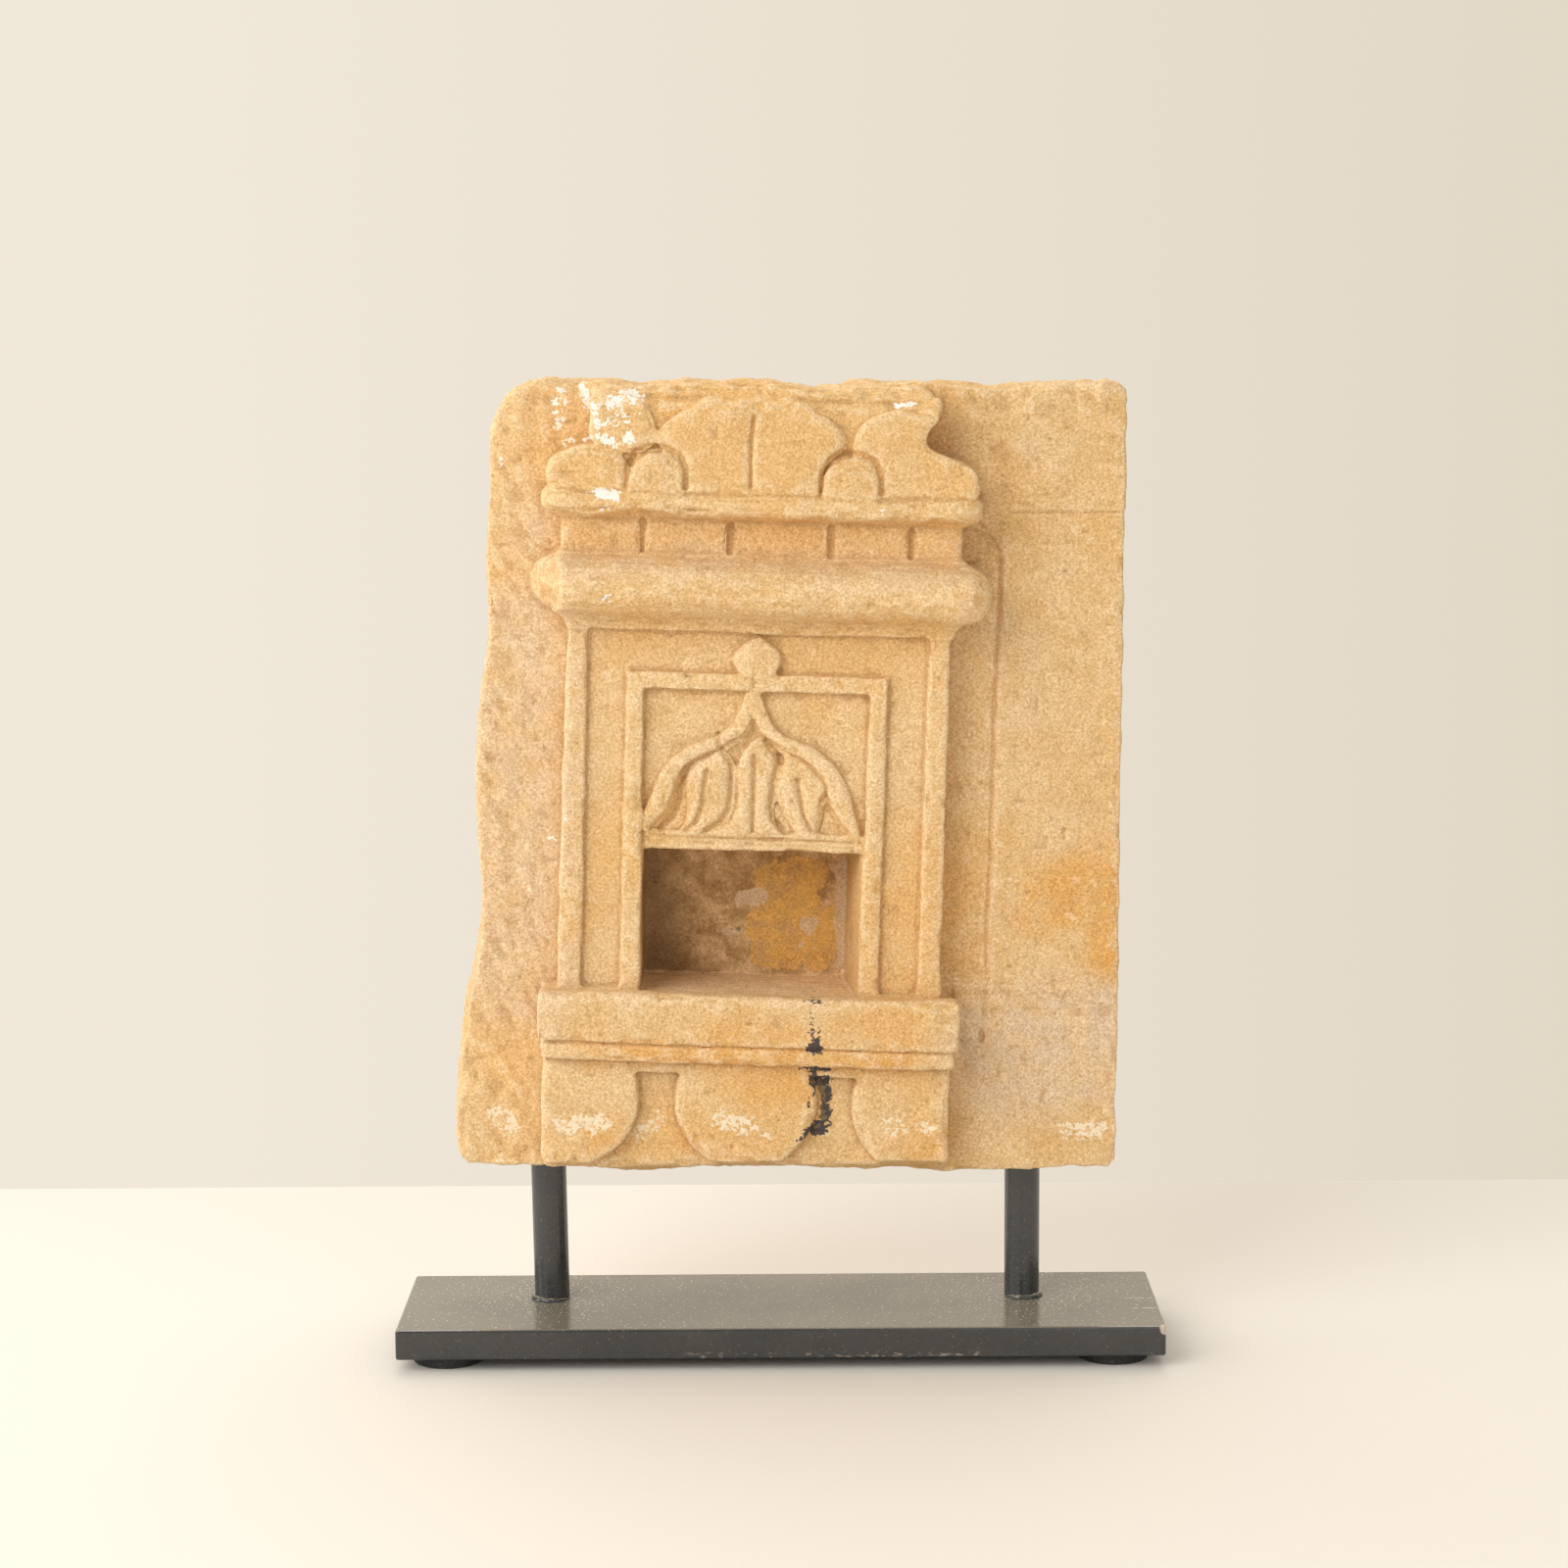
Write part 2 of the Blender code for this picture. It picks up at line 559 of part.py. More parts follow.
def add_crown(joined, frame):
    """The petals over the cornice, raised on a common back."""
    silhouette = mirrored(scaled(CROWN_SILHOUETTE, CROWN_HALF, CROWN_HEIGHT, 0.0, CROWN_FOOT_V - EMBED / 2))
    last = len(silhouette) - 1
    outline_solid("crown_back", silhouette, face_y(CROWN_BACK_PROJECTION), EMBED_Y, joined, frame,
                  corners=(0, last), edge=CROWN_EDGE)
    petal_face = face_y(CROWN_PETAL_PROJECTION)
    for name, shares, face, corners in (
        ("left_dome", CROWN_LEFT_DOME, petal_face, (0, 6)),
        ("left_lobe", CROWN_LEFT_LOBE, petal_face + FLUSH_STEP, (0, 2)),
        ("right_block", CROWN_RIGHT_BLOCK, petal_face, (0, 7, 15)),
    ):
        outline = scaled(shares, CROWN_HALF, CROWN_HEIGHT, 0.0, CROWN_FOOT_V)
        outline_solid("crown_" + name, outline, face, EMBED_Y, joined, frame,
                      corners=corners, edge=CROWN_EDGE)
    for name, side in (("left", -1), ("right", 1)):
        arch = [(side * CROWN_ARCH_U + CROWN_ARCH_SHIFT + CROWN_ARCH_HALF, CROWN_FOOT_V)]
        for step in range(DISC_STEPS // 4 + 1):
            turn = math.pi * step / (DISC_STEPS // 4)
            arch.append((side * CROWN_ARCH_U + CROWN_ARCH_SHIFT + CROWN_ARCH_HALF * math.cos(turn),
                         CROWN_FOOT_V + CROWN_ARCH_HEIGHT - CROWN_ARCH_HALF * (1 - math.sin(turn))))
        arch.append((side * CROWN_ARCH_U + CROWN_ARCH_SHIFT - CROWN_ARCH_HALF, CROWN_FOOT_V))
        outline_solid("crown_arch_" + name, arch, face_y(CROWN_ARCH_PROJECTION), EMBED_Y, joined, frame,
                      edge=LEAF_EDGE)
    half = scaled(CROWN_PETAL, CROWN_HALF, CROWN_HEIGHT, 0.0, CROWN_FOOT_V)
    petal = half[:-1] + [(-u, v) for u, v in reversed(half[1:-1])]
    petal = [(u + CROWN_PETAL_U, v) for u, v in petal]
    foot = len(half) - 2
    outline_solid("crown_petal", petal, petal_face, EMBED_Y, joined, frame,
                  corners=(foot, foot + 1), edge=CROWN_EDGE)


def cut_frame(cut, frame):
    """The channel between the two fillets, the sunk panel, the niche and the brick joints."""
    past = face_y(FRAME_PROJECTION) - CUT_PAST
    channel = face_y(FRAME_PROJECTION - CHANNEL_SINK)
    outer = FRAME_HEAD_HALF - OUTER_FILLET
    inner = INNER_FILLET_OUTER_HALF
    for name, low_u, high_u in (("left", -outer, -inner), ("right", inner, outer)):
        mesh = box_mesh("channel_" + name, (low_u, past, FLUSH_STEP), (high_u, channel, FRAME_HEAD))
        make_tool("channel_" + name, mesh, cut, frame)
    mesh = box_mesh("channel_head", (-outer, past, INNER_FILLET_HEAD), (outer, channel, FRAME_HEAD))
    make_tool("channel_head", mesh, cut, frame)
    mesh = box_mesh("panel", (-PANEL_HALF, past, NICHE_HEAD - EMBED / 2),
                    (PANEL_HALF, face_y(FRAME_PROJECTION - PANEL_SINK), PANEL_HEAD))
    make_tool("panel", mesh, cut, frame)
    mouth = face_y(FRAME_PROJECTION) - FLUSH_STEP
    mesh = box_mesh("niche", (-NICHE_HALF, mouth, NICHE_FLOOR), (NICHE_HALF, NICHE_BACK_Y, NICHE_HEAD))
    make_tool("niche", mesh, cut, frame)


def cut_entablature(cut, frame):
    """The joints between the bricks, the broken end of the roll and the broken top of the crown."""
    brick_face = face_y(FRAME_PROJECTION + FRONT_SHARE * BRICK_OUT)
    for index, joint in enumerate(BRICK_JOINTS):
        name = "brick_joint_%d" % (index + 1)
        half = BRICK_JOINT_WIDTH / 2
        mesh = box_mesh(name, (joint - half, brick_face - BRICK_JOINT_DEPTH / 2, BRICK_FOOT_V),
                        (joint + half, brick_face + BRICK_JOINT_DEPTH, BRICK_HEAD_V))
        make_tool(name, mesh, cut, frame)
    size = 2 * ROLL_RADIUS
    mesh = box_mesh("roll_chip", (-size, -2 * size, -size), (0, 0, size))
    chip = make_tool("roll_chip", mesh, cut, frame)
    roll_end = FRAME_HEAD_HALF + ROLL_CENTRE_OUT + ROLL_RADIUS
    chip.location = (-roll_end, GROUND_Y - FLUSH_STEP, ROLL_MIDDLE_V)
    chip.rotation_euler = (0, 0, ROLL_CHIP_TURN)
    reach = 2 * CROWN_HALF
    mesh = box_mesh("crown_break", (-reach, -reach / 2, 0), (reach, reach / 2, reach / 4))
    crown_break = make_tool("crown_break", mesh, cut, frame)
    crown_break.location = (0, face_y(CROWN_PETAL_PROJECTION), CROWN_BREAK_V)
    crown_break.rotation_euler = (CROWN_BREAK_SLOPE, 0, 0)


def cut_ground(cut, frame):
    """The border sunk into the ground on the carving's right, with a rounded upper corner."""
    corner = BORDER_CORNER
    inner = FRIEZE_HALF - EMBED
    points = [(inner, BORDER_FOOT), (BORDER_HALF, BORDER_FOOT)]
    for step in range(CORNER_STEPS + 1):
        turn = math.pi / 2 * step / CORNER_STEPS
        points.append((BORDER_HALF - corner + corner * math.cos(turn),
                       BORDER_TOP - corner + corner * math.sin(turn)))
    points.append((inner, BORDER_TOP))
    outline_solid("border", points, GROUND_Y - CUT_PAST, GROUND_Y + BORDER_SINK, cut, frame)


def trim_carving(cut, outline):
    """What stands over the block's top or under its foot, and the eased edge under the frieze."""
    reach = 4 * CUT_PAST
    past = face_y(SILL_PROJECTION) - 2 * CUT_PAST
    stop = EMBED_Y + FLUSH_STEP
    top = [(x, z - 2 * FLUSH_STEP) for x, z in outline if z > STONE_FOOT_Z + BLOCK_RIGHT_HEIGHT - CUT_PAST]
    top.sort()
    above = top + [(top[-1][0], top[-1][1] + reach), (top[0][0], top[0][1] + reach)]
    outline_solid("above_block", above, past, stop, cut, None)
    foot = [(x, z + 2 * FLUSH_STEP) for x, z in outline if z < STONE_FOOT_Z + 2 * BLOCK_LOWER_CORNER_CUT]
    foot.sort()
    below = foot + [(foot[-1][0], foot[-1][1] - reach), (foot[0][0], foot[0][1] - reach)]
    outline_solid("below_block", below, past, stop, cut, None)
    wide = PLATE_WIDTH / 2
    mesh = box_mesh("frieze_foot", (-wide, -2 * CUT_PAST, -2 * CUT_PAST), (wide, 4 * CUT_PAST, 0))
    wedge = make_tool("frieze_foot", mesh, cut, None)
    wedge.location = (0, face_y(FRIEZE_PROJECTION), STONE_FOOT_Z + FRIEZE_FOOT_RISE)
    wedge.rotation_euler = (-math.atan2(FRIEZE_FOOT_RISE, FRIEZE_FOOT_RUN), 0, 0)


def cut_sockets(cut):
    """The holes in the underside that take the rods."""
    radius = ROD_DIAMETER / 2 + SOCKET_CLEARANCE
    for name, middle_x, lean in (("left", ROD_LEFT_X, ROD_LEFT_LEAN), ("right", ROD_RIGHT_X, 0.0)):
        length = STONE_CLEAR_HEIGHT + SOCKET_DEPTH
        mesh = cylinder_mesh("socket_" + name, radius, radius, length)
        socket = make_tool("socket_" + name, mesh, cut)
        socket.location = (middle_x, ROD_Y, PLATE_TOP_Z)
        socket.rotation_euler = (0, lean, 0)


def add_relief(joined, frame):
    """The lintel, the arch band, the leaves under it and the bud over it."""
    panel_back = face_y(0.0)
    mesh = box_mesh("lintel", (-PANEL_HALF - EMBED / 2, face_y(LINTEL_PROJECTION), NICHE_HEAD - FLUSH_STEP),
                    (PANEL_HALF + EMBED / 2, panel_back, NICHE_HEAD + LINTEL_HEIGHT))
    make_tool("lintel", mesh, joined, frame)
    half = list(ARCH_OUTER)
    inner = list(ARCH_INNER_LOBE) + [ARCH_CUSP] + list(ARCH_INNER_HEAD)
    shares = half + [(-u, v) for u, v in reversed(half)]
    shares += [(-u, v) for u, v in inner] + [ARCH_INNER_APEX] + list(reversed(inner))
    corners = [0, len(half) - 1, len(half), 2 * len(half) - 1, 2 * len(half)]
    cusp = 2 * len(half) + len(ARCH_INNER_LOBE)
    apex = 2 * len(half) + len(inner)
    corners += [cusp, apex, 2 * apex - cusp, len(shares) - 1]
    band = scaled(shares, ARCH_HALF, ARCH_RISE, ARCH_U, ARCH_SPRING_V)
    outline_solid("arch_band", band, face_y(ARCH_PROJECTION), panel_back, joined, frame, corners=corners,
                  edge=ARCH_EDGE)
    for name, shares in (("left", LEFT_LEAF), ("middle", MIDDLE_LEAF), ("right", RIGHT_LEAF)):
        leaf = scaled(shares, ARCH_HALF, ARCH_RISE, 0.0, ARCH_SPRING_V)
        outline_solid("leaf_" + name, leaf, face_y(LEAF_PROJECTION), panel_back, joined, frame,
                      corners=(0, 6, 7), edge=LEAF_EDGE)
    right = scaled(BUD_OUTLINE, BUD_HALF, BUD_HEIGHT, BUD_U, BUD_FOOT)
    left = scaled(BUD_OUTLINE[1:], BUD_HALF, BUD_HEIGHT, BUD_U, BUD_FOOT, side=-1)
    outline_solid("bud", right + list(reversed(left)), face_y(BUD_PROJECTION), panel_back, joined, frame,
                  corners=(0,), edge=BUD_EDGE)


def cut_arch_ground(cut, frame):
    """The ground under the arch, sunk below the panel."""
    inner = list(ARCH_INNER_LOBE) + [ARCH_CUSP] + list(ARCH_INNER_HEAD)
    shares = inner + [ARCH_INNER_APEX] + [(-u, v) for u, v in reversed(inner)]
    ground = scaled(shares, ARCH_HALF, ARCH_RISE, ARCH_U, ARCH_SPRING_V - LINTEL_HEIGHT / 2)
    panel_face = FRAME_PROJECTION - PANEL_SINK
    outline_solid("arch_ground", ground, face_y(FRAME_PROJECTION) - CUT_PAST,
                  face_y(panel_face - ARCH_GROUND_SINK), cut, frame)


def cut_grooves(cut, frame):
    """The grooves down the leaves, the great petal and the lintel."""
    for index, shares in enumerate(LEAF_GROOVES):
        line = scaled(shares, ARCH_HALF, ARCH_RISE, 0.0, ARCH_SPRING_V)
        groove_solid("leaf_groove_%d" % (index + 1), line, face_y(LEAF_PROJECTION), LEAF_GROOVE_RADIUS,
                     cut, frame)
    line = [(CROWN_PETAL_U, CROWN_BREAK_V + CUT_PAST), (CROWN_PETAL_U, CORNICE_HEAD_V + FLUSH_STEP)]
    groove_solid("petal_groove", line, face_y(CROWN_PETAL_PROJECTION), CROWN_GROOVE_RADIUS, cut, frame)
    reach = PANEL_HALF - LINTEL_GROOVE
    line = [(-reach, LINTEL_GROOVE_V), (reach, LINTEL_GROOVE_V)]
    groove_solid("lintel_groove", line, face_y(LINTEL_PROJECTION), LINTEL_GROOVE, cut, frame)


def make_stone(parts, steps):
    """The stone: a block with the carving joined on and cut in, step by step."""
    frame = bpy.data.objects.new("carving_frame", None)
    parts.objects.link(frame)
    frame.location = (CARVING_X, 0, SILL_TOP_Z)
    frame.rotation_euler = (0, CARVING_LEAN, 0)
    bpy.context.view_layer.update()
    outline = block_outline()
    stone = make_frame(parts, frame)
    add_lower_frieze(steps["masses"], frame)
    add_sill(steps["masses"], frame)
    make_tool("entablature", stacked_mesh("entablature", entablature_levels()), steps["masses"], frame)
    add_crown(steps["masses"], frame)
    trim_carving(steps["trims"], outline)
    add_block(steps["block"], outline)
    cut_frame(steps["sinkings"], frame)
    cut_entablature(steps["sinkings"], frame)
    cut_ground(steps["sinkings"], frame)
    cut_arch_ground(steps["sinkings"], frame)
    cut_sockets(steps["sinkings"])
    add_relief(steps["relief"], frame)
    cut_grooves(steps["grooves"], frame)
    for name, operation in STEPS:
        join_step(stone, name, operation, steps[name])
    stone.data.materials.append(make_material("sandstone", (0.68, 0.48, 0.27), 0.92, 0.0))


def make_plate(parts):
    """The steel base plate, with slightly eased edges."""
    mesh = box_mesh("base_plate", (-PLATE_WIDTH / 2, -PLATE_DEPTH / 2, PLATE_FOOT_Z),
                    (PLATE_WIDTH / 2, PLATE_DEPTH / 2, PLATE_TOP_Z))
    plate = place("base_plate", mesh, parts)
    ease = plate.modifiers.new("ease", "BEVEL")
    ease.width = PLATE_EDGE_ROUND
    ease.segments = 2
    plate.data.materials.append(make_material("plate_steel", (0.060, 0.058, 0.055), 0.45, 0.6))


def make_rods(parts):
    """Two round rods, standing on the plate and reaching up into the stone."""
    radius = ROD_DIAMETER / 2
    for name, middle_x, lean in (("left", ROD_LEFT_X, ROD_LEFT_LEAN), ("right", ROD_RIGHT_X, 0.0)):
        foot_lift = PIECE_GAP + radius * math.sin(abs(lean))
        length = STONE_CLEAR_HEIGHT + SOCKET_DEPTH - foot_lift - PIECE_GAP
        mesh = cylinder_mesh("rod_" + name, radius, radius, length)
        lift = Vector((math.sin(lean), 0, math.cos(lean))) * foot_lift
        rod = place("rod_" + name, mesh, parts)
        rod.location = Vector((middle_x, ROD_Y, PLATE_TOP_Z)) + lift
        rod.rotation_euler = (0, lean, 0)
        rod.data.materials.append(make_material("rod_steel_" + name, (0.045, 0.050, 0.052), 0.42, 0.6))


def make_feet(parts):
    """Four round rubber feet under the plate's corners."""
    radius = FOOT_DIAMETER / 2
    for row, side_y in (("front", -1), ("back", 1)):
        for side, side_x in (("left", -1), ("right", 1)):
            name = "foot_%s_%s" % (row, side)
            mesh = cylinder_mesh(name, radius - FOOT_TAPER, radius, FOOT_HEIGHT)
            foot = place(name, mesh, parts)
            foot.location.x = side_x * (PLATE_WIDTH / 2 - FOOT_INSET_X)
            foot.location.y = side_y * (PLATE_DEPTH / 2 - FOOT_INSET_Y)
            foot.data.materials.append(make_material("rubber_" + name, (0.030, 0.030, 0.030), 0.80, 0.0))


def main():
    """Builds the whole object."""
    clear_scene()
    parts = make_collection("stone_niche_on_stand")
    carving = make_collection("carving_shapes")
    steps = {}
    for name, _ in STEPS:
        steps[name] = bpy.data.collections.new(name)
        carving.children.link(steps[name])
    make_stone(parts, steps)
    make_plate(parts)
    make_rods(parts)
    make_feet(parts)
    bpy.context.view_layer.update()


main()
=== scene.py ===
"""The looks of the stone niche: worn sandstone on a painted steel stand, on a pale floor.

Lengths are in metres. Names that end in _MM are in millimetres, and so are the stone's roughness, chips,
pits, lines and marks.
"""

import math

import bpy
import numpy as np
from mathutils import Matrix, Vector


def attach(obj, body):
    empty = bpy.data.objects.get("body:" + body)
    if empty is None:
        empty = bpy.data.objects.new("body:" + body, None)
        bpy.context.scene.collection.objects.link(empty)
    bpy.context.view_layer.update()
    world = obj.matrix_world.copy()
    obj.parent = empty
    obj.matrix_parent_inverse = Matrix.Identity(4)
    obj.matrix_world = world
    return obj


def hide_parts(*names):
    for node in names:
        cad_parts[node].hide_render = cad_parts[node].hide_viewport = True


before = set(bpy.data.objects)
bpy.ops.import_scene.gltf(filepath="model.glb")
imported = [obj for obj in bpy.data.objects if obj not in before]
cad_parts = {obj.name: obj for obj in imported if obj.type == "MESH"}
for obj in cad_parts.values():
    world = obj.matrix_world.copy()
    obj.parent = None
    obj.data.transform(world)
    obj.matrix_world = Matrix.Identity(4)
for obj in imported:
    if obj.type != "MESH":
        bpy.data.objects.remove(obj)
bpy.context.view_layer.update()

MM = 0.001
TINY = 1e-6

# The camera, fitted to the photograph's stand.
CAMERA_PLACE = (0.0059, -1.2752, 0.4061)
CAMERA_LENS_MM = 75.6
CAMERA_SENSOR_MM = 36.0
CAMERA_PITCH = math.radians(8.06)
CAMERA_YAW = math.radians(-0.14)
CAMERA_ROLL = math.radians(0.40)

# The carving leans clockwise on its block: U runs along the sill and V up from the sill's top.
CARVING_X_MM = -11.5
CARVING_Z_MM = 147.3
CARVING_LEAN = math.radians(2.1)

# How the stone is meshed and worn.
VOXEL = 0.7 * MM
WELD_DISTANCE = 0.001 * MM
STONE_TRIANGLES = 190000
WEAR_ROUNDS = 4
WEAR_OUT = 0.5
WEAR_IN = 0.08
HEIGHT_ROUNDS = 20
CREASE_ROUNDS = 7
MARK_HEIGHT_ROUNDS = 5
ROD_CLEARANCE = 0.7 * MM
SOCKET_REACH = 2.0 * MM

# Planes of the stone, from the front to the back.
PETAL_Y_MM = -34.8
SILL_LIP_Y_MM = -32.0
CROWN_BACK_Y_MM = -27.5
NICHE_MOUTH_Y_MM = -23.0
PANEL_Y_MM = -18.8
GROUND_Y_MM = -11.0
NICHE_BACK_Y_MM = 24.0

# Below, a pair of numbers is where something begins and where it is at its full.
FRONT_FACING = (0.1, 0.6)
BACK_FACING = (0.3, 0.8)
SIDE_OR_FRONT_FACING = (-0.3, 0.2)
LEFT_FACING = (-0.2, -0.7)
SHOWN_Y_MM = (GROUND_Y_MM + 6.0, GROUND_Y_MM + 3.0)
FLAT_REACH_MM = (3.0, 1.0)

# The niche: its walls and head, its foot, and the stone behind its back.
NICHE_WALL_U_MM = (45.0, 44.0)
NICHE_HEAD_V_MM = (57.0, 56.0)
NICHE_FOOT_V_MM = (-5.0, -3.0)
NICHE_END_Y_MM = (NICHE_BACK_Y_MM + 8.0, NICHE_BACK_Y_MM + 5.0)
NICHE_BACK_FACE_Y_MM = (NICHE_BACK_Y_MM - 3.0, NICHE_BACK_Y_MM - 1.0)
NICHE_CLOSING_MM = 5.0
NICHE_CLOSING_U_MM = (5.0, 42.0)

# Areas of the carving: their sides in U, their foot and their head in V.
ARCH = ((43.0, 41.0), (61.0, 63.0), (118.0, 116.0))
ARCH_GROUND = ((43.5, 42.5), (61.0, 62.5), (118.0, 117.0))
CROWN_GROUND = ((82.0, 79.0), (195.0, 197.5), (229.0, 225.0))
CROWN_GROUND_Y_MM = (CROWN_BACK_Y_MM + 1.5, CROWN_BACK_Y_MM + 0.5)
CROWN_FILL_SHARE = 0.62
ARCH_GROUND_DEPTH_MM = 3.5
ARCH_FILL_SHARE = 0.50

# The border strip right of the frame, which fades out at its foot.
BORDER_LEFT_U_MM = (80.0, 81.0)
BORDER_RIGHT_U_MM = (96.0, 95.0)
BORDER_FADE_V_MM = (18.0, -14.0)
BORDER_DEPTH_MM = 1.4

# The cornice's slow wave, and the roll's broken left end.
WAVE_V_MM = 189.0
WAVE_REACH_MM = (9.0, 5.0)
WAVE_Y_MM = (-27.0, -30.0)
ROLL_V_MM = 157.0
ROLL_RADIUS_MM = 10.8
ROLL_END_U_MM = (-74.0, -83.0)
ROLL_END_Y_MM = (-14.0, -18.0)
ROLL_POINT_SHARE = 0.75

# Roughness: how far each layer of noise moves the surface, how wide its features are, and its seed.
SWELL = ((0.45, 26.0, 1), (0.34, 9.0, 2))
FINE_SWELL = ((0.25, 4.6, 3), (0.20, 2.4, 4))
RAGGED = ((1.15, 11.0, 5), (0.75, 5.0, 6))
LEFT_BREAK = ((1.1, 15.0, 17), (0.7, 4.0, 18))
TOP_CRUMBS = ((0.45, 2.6, 7),)
FLAT_TOOL_MARKS = ((0.22, 2.8, 8),)
LEFT_TOOL_MARKS = ((0.40, 2.8, 8),)
LEFT_DENTS = ((0.32, 7.0, 19),)
BACK_TOOL_MARKS = ((0.55, 5.5, 9),)
ROLL_LINES = ((0.24, 1.9, 20),)
SILL_END_ROUGHNESS = ((0.6, 3.0, 13),)
NICHE_BACK_ROUGHNESS = ((0.45, 8.0, 23), (0.25, 3.2, 24))
WAVE = ((0.9, 17.0, 25),)
WELD_ROUGHNESS = (0.25, 1.8)

# Where the block is broken or rough, and how rough each part is beside the broken top.
TOP_BREAK_V_MM = (222.0, 229.0)
TOP_BREAK_Z_MM = (376.0, 381.0)
LEFT_BREAK_X_MM = (-117.0, -126.0)
UNDERSIDE_Z_MM = (79.0, 75.0)
LEFT_RAGGED_SHARE = 0.9
UNDERSIDE_RAGGED_SHARE = 0.6
BACK_RAGGED_SHARE = 0.7

# The carved outlines are cut in deeper than the solid's, by less in some places.
OUTLINE_CUT_MM = 0.75
OUTLINE_CUT_Y_MM = (10.0, 0.0)
OUTLINE_CREASE_MM = (0.10, 0.42)
LESS_OVER_FRAME_MM = 0.5
OVER_FRAME_V_MM = (133.0, 137.0)
LESS_IN_ARCH_MM = 0.55
LESS_AT_BORDER_MM = 0.25
AT_BORDER_U_MM = (80.0, 84.0)
DEEPEST_CUT_MM = 2.6
DEEPEST_ARCH_CUT_MM = 1.5

# Tool marks run aslant: how far along and across, and how much they are squeezed in X, Y and Z.
FRONT_SLANT = (0.85, 0.5)
FRONT_SQUEEZE = (1.0, 0.5, 0.38)
BACK_SLANT = (0.6, 0.8)
BACK_SQUEEZE = (1.0, 0.5, 0.25)
LEFT_FLAT_U_MM = (-70.0, -86.0)
ROLL_LINES_V_MM = 158.0
ROLL_LINES_REACH_MM = (12.0, 9.0)
ROLL_LINES_Y_MM = (-26.0, -30.0)
ROLL_LINES_SQUEEZE = 0.08

# Chips and pits: their depth, their width, their seed, and the noise between which they begin and are full.
EDGE_CHIPS = (0.85, 6.5, 10, (0.10, 0.70))
CORNICE_CHIPS = (0.8, 9.0, 21, (-0.1, 0.6))
SILL_LIP_CHIPS = (0.7, 4.0, 14, (-0.1, 0.6))
SMALL_PITS = (0.35, 1.9, 11, (0.55, 0.9))
LARGE_PITS = (0.60, 3.6, 12, (0.70, 0.92))
EDGE_HEIGHT_MM = (0.10, 0.40)
CORNICE_V_MM = 190.0
CORNICE_REACH_MM = (7.0, 5.0)
CORNICE_Y_MM = (-28.0, -31.0)
SILL_LIP_REACH_MM = (4.0, 1.0)
SILL_LIP_V_MM = (3.0, 1.0)
SILL_LIP_U_MM = (46.0, 42.0)
SILL_END_U_MM = (71.0, 76.0)
SILL_END_V_MM = -4.0
SILL_END_REACH_MM = (7.0, 3.0)
SILL_END_WEAR_MM = 0.8

# The faint step across the right of the block, with a line under it.
RIGHT_FLAT_X_MM = (88.0, 93.0)
STEP_HEIGHT_MM = 0.9
STEP_Z_MM = (331.6, 332.6)
STEP_LINE_DEPTH_MM = 0.35
STEP_LINE_Z_MM = 331.7
STEP_LINE_REACH_MM = (0.9, 0.2)

# Marks on the stone. Each is a stroke: start U, start V, end U, end V, radius, then how thickly it covers.
LIME = (
    (-70, 231, -67.5, 224, 1.6, 1.0), (-78.5, 228, -79, 215, 2.8, 0.56), (-64.5, 225, -62.5, 219.5, 0.9, 1.0),
    (-62.5, 219.5, -63, 213, 0.9, 1.0), (-58, 226.5, -48, 228.5, 2.9, 0.6), (-78, 209.5, -71, 211, 0.9, 1.0),
    (-71, 211, -61.5, 213, 0.9, 1.0), (-59, 212, -56, 210.5, 2.2, 0.8), (-51.5, 213, -51, 212, 1.9, 1.0),
    (-57, 219, -48, 221, 2.6, 0.42), (-63.5, 192, -54.5, 191, 1.8, 1.0), (-59, 186.5, -58, 186, 0.9, 0.8),
    (-58.5, 153, -56.5, 153, 1.2, 0.6), (49.5, 227.5, 55, 228.5, 0.9, 1.0), (45, 187, 48, 187, 0.9, 0.6),
    (-101, 202, -101, 201.5, 1.0, 1.0), (-79, 56.5, -77, 55, 0.7, 1.0), (-72, 66.5, -71.5, 65.5, 0.9, 0.8))
CREAM = (
    (-71.5, -54, -66, -54, 3.4, 0.66), (-62, -53.5, -56, -53, 3.8, 0.66), (-42.5, -58.5, -37, -56, 3.0, 0.56),
    (-33.5, -50, -33.5, -54, 1.2, 0.56), (-9.5, -50.5, 1, -53, 4.2, 0.6), (5, -55.5, 10, -56, 1.4, 0.56),
    (57, -51, 62.5, -52.5, 3.2, 0.54), (68, -50.5, 72, -51.5, 2.8, 0.66), (126, -54.5, 139, -54, 3.2, 0.54),
    (-97, -54, -92.5, -59.5, 4.0, 0.54), (-98, -71.5, -96, -72, 1.0, 0.7))
DRIP = (
    (23.5, -6, 27, -15.5, 1.9, 0.45), (25, -19.5, 27.5, -20, 2.0, 0.9), (22.5, -28.5, 33, -28.5, 1.2, 0.75),
    (25.5, -30.5, 26.5, -35, 2.0, 0.75), (30.5, -33.5, 31.5, -51.5, 2.1, 0.9),
    (27.5, -54, 30, -54, 3.0, 0.95), (24.5, -54.5, 20, -58.5, 0.7, 0.9), (25.5, -40, 26, -44.5, 1.2, 0.45),
    (22, -0.5, 27.5, -1.5, 1.2, 0.6))
KHAKI = ((29.5, -34, 30.5, -50, 1.0, 0.8), (27, -53, 28, -54, 1.0, 0.6))
